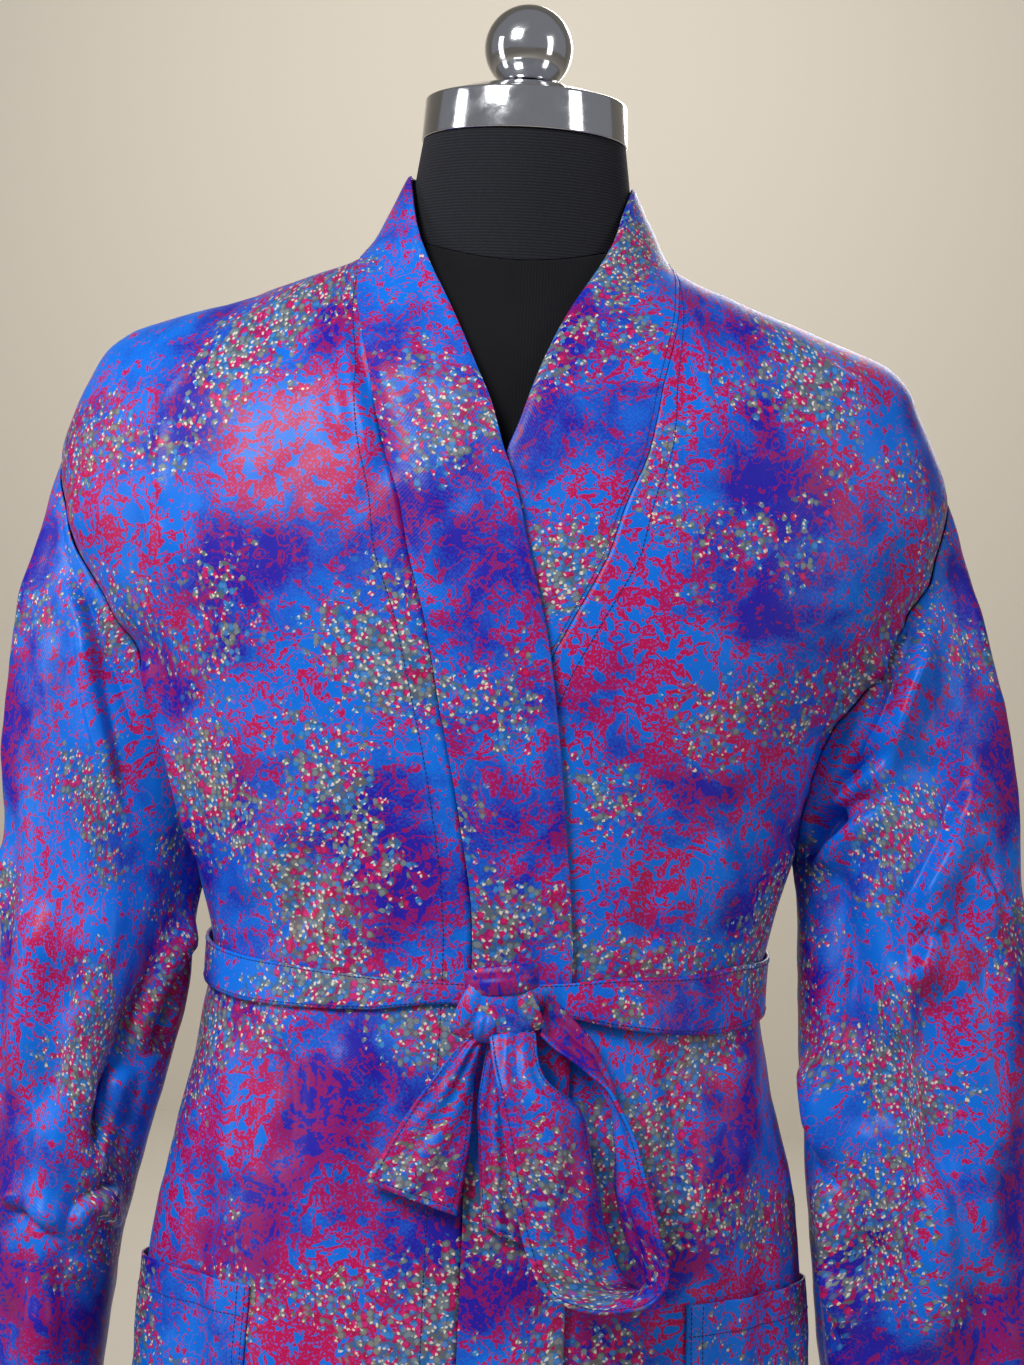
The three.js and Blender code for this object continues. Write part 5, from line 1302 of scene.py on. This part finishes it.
PLATE_TOP, PLATE_THICK, PLATE_RADIUS = 811.7, 12, 92
POLE_RADIUS, BASE_RADIUS, BASE_THICK, HUB_RADIUS, HUB_HEIGHT = 12.5, 205, 14, 30, 60
STAND_GAP = 0.3
plate_bottom = PLATE_TOP - PLATE_THICK
hub_top = BASE_THICK + HUB_HEIGHT
dress(turned_piece("form_plate_disc", rounded([(0, PLATE_TOP), (PLATE_RADIUS, PLATE_TOP),
                                              (PLATE_RADIUS, plate_bottom), (0, plate_bottom)])),
      painted, "painted", "form_plate")
dress(turned_piece("stand_pole_tube", [(0, plate_bottom - STAND_GAP), (POLE_RADIUS, plate_bottom - STAND_GAP),
                                       (POLE_RADIUS, hub_top + STAND_GAP), (0, hub_top + STAND_GAP)], 48),
      polished, "polished", "stand_pole")
base = rounded([(0, hub_top), (20, hub_top), (22, hub_top - 3), (HUB_RADIUS, BASE_THICK + 6),
                (HUB_RADIUS + 10, BASE_THICK), (BASE_RADIUS - 25, BASE_THICK - 1), (BASE_RADIUS - 2, 9),
                (BASE_RADIUS, 3), (BASE_RADIUS - 2, 0), (0, 0)], 2.5, 4)
dress(turned_piece("stand_base_disc", base), painted, "painted", "stand_base")

# %% [markdown]
# ## Stitches
#
# A sewing machine leaves short bars of thread with the cloth drawn in between. Each stitch is a small
# faceted bar, sunk at both ends, and all of them are one mesh, because they are thousands.

# %% One mesh of stitches
mesh = bpy.data.meshes.new("topstitching")
mesh.from_pydata((np.array(stitch_points).reshape(-1, 3) * MM).tolist(), [], stitch_faces)
mesh.shade_smooth()
stitches = bpy.data.objects.new("topstitching", mesh)
bpy.context.scene.collection.objects.link(stitches)
mesh.materials.append(thread)
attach(stitches, "root")
print(len(stitch_points), "stitches; cut sizes", FLAT_SIZES)

# %% [markdown]
# ## Studio and camera
#
# Pale paper, a large soft light from the upper left, a weaker tall one on each side, one from behind for the
# back of the robe and one that washes the paper. The camera stands 1.8 m in front, level with the chest,
# and is rolled as the photograph is.

# %% Studio
BACKDROP_Y = 6.5


def stage_plane(name, size, place, turn):
    bpy.ops.mesh.primitive_plane_add(size=size, location=place, rotation=turn)
    plane = bpy.context.object
    plane.name = name
    plane.data.materials.append(paper)


paper = blank("pale paper", Roughness=0.9, Base_Color=linear("d8cfbf"))[0]
stage_plane("floor", 30, (0, 0, 0), (0, 0, 0))
stage_plane("backdrop", 30, (0, BACKDROP_Y, 3), (math.pi / 2, 0, 0))

LIGHTS = {  # place, what it points at, width, height and power
    "key": ((-1.2, -1.8, 2.7), (0, 0, 1.15), 0.9, 0.9, 50),
    "fill": ((1.9, -1.2, 1.7), (0, 0, 1.1), 0.55, 1.65, 9),
    "strip": ((-1.9, -0.4, 1.5), (0, 0, 1.2), 0.45, 1.575, 7),
    "back": ((0.8, 2.6, 2.3), (0, 0, 1.0), 1.2, 1.2, 24),
    "wash": ((0, 3.6, 3.4), (0, BACKDROP_Y, 1.2), 2.0, 2.0, 85),
}
for name, (place, target, width, height, power) in LIGHTS.items():
    light = bpy.data.lights.new(name, "AREA")
    light.shape = "RECTANGLE"
    light.size = width
    light.size_y = height
    light.energy = power
    lamp = bpy.data.objects.new(name, light)
    lamp.location = place
    lamp.rotation_mode = "QUATERNION"
    lamp.rotation_quaternion = (Vector(target) - Vector(place)).to_track_quat("-Z", "Y")
    bpy.context.scene.collection.objects.link(lamp)

world = bpy.data.worlds.new("studio")
world.use_nodes = True
world.node_tree.nodes["Background"].inputs[0].default_value = (0.9, 0.92, 1, 1)
world.node_tree.nodes["Background"].inputs[1].default_value = 0.2
bpy.context.scene.world = world
bpy.context.scene.view_settings.view_transform = "Standard"
print(len(LIGHTS), "soft lights")

# %% Camera
PHOTO_ROLL = math.radians(2.5)
FOCAL_PIXELS = 3000
PHOTO_HEIGHT = 1365
camera_data = bpy.data.cameras.new("camera")
camera_data.sensor_width = 36
camera_data.lens = FOCAL_PIXELS * camera_data.sensor_width / PHOTO_HEIGHT
camera = bpy.data.objects.new("camera", camera_data)
camera.location = (0.0065, -1.807, 1.225)
camera.rotation_mode = "QUATERNION"
look = Vector((0, 1, 0)).to_track_quat("-Z", "Y").to_matrix()
camera.rotation_quaternion = (Matrix.Rotation(-PHOTO_ROLL, 3, "Y") @ look).to_quaternion()
bpy.context.scene.collection.objects.link(camera)
bpy.context.scene.camera = camera
print("a lens of", round(camera_data.lens), "mm on a long side of", camera_data.sensor_width, "mm")
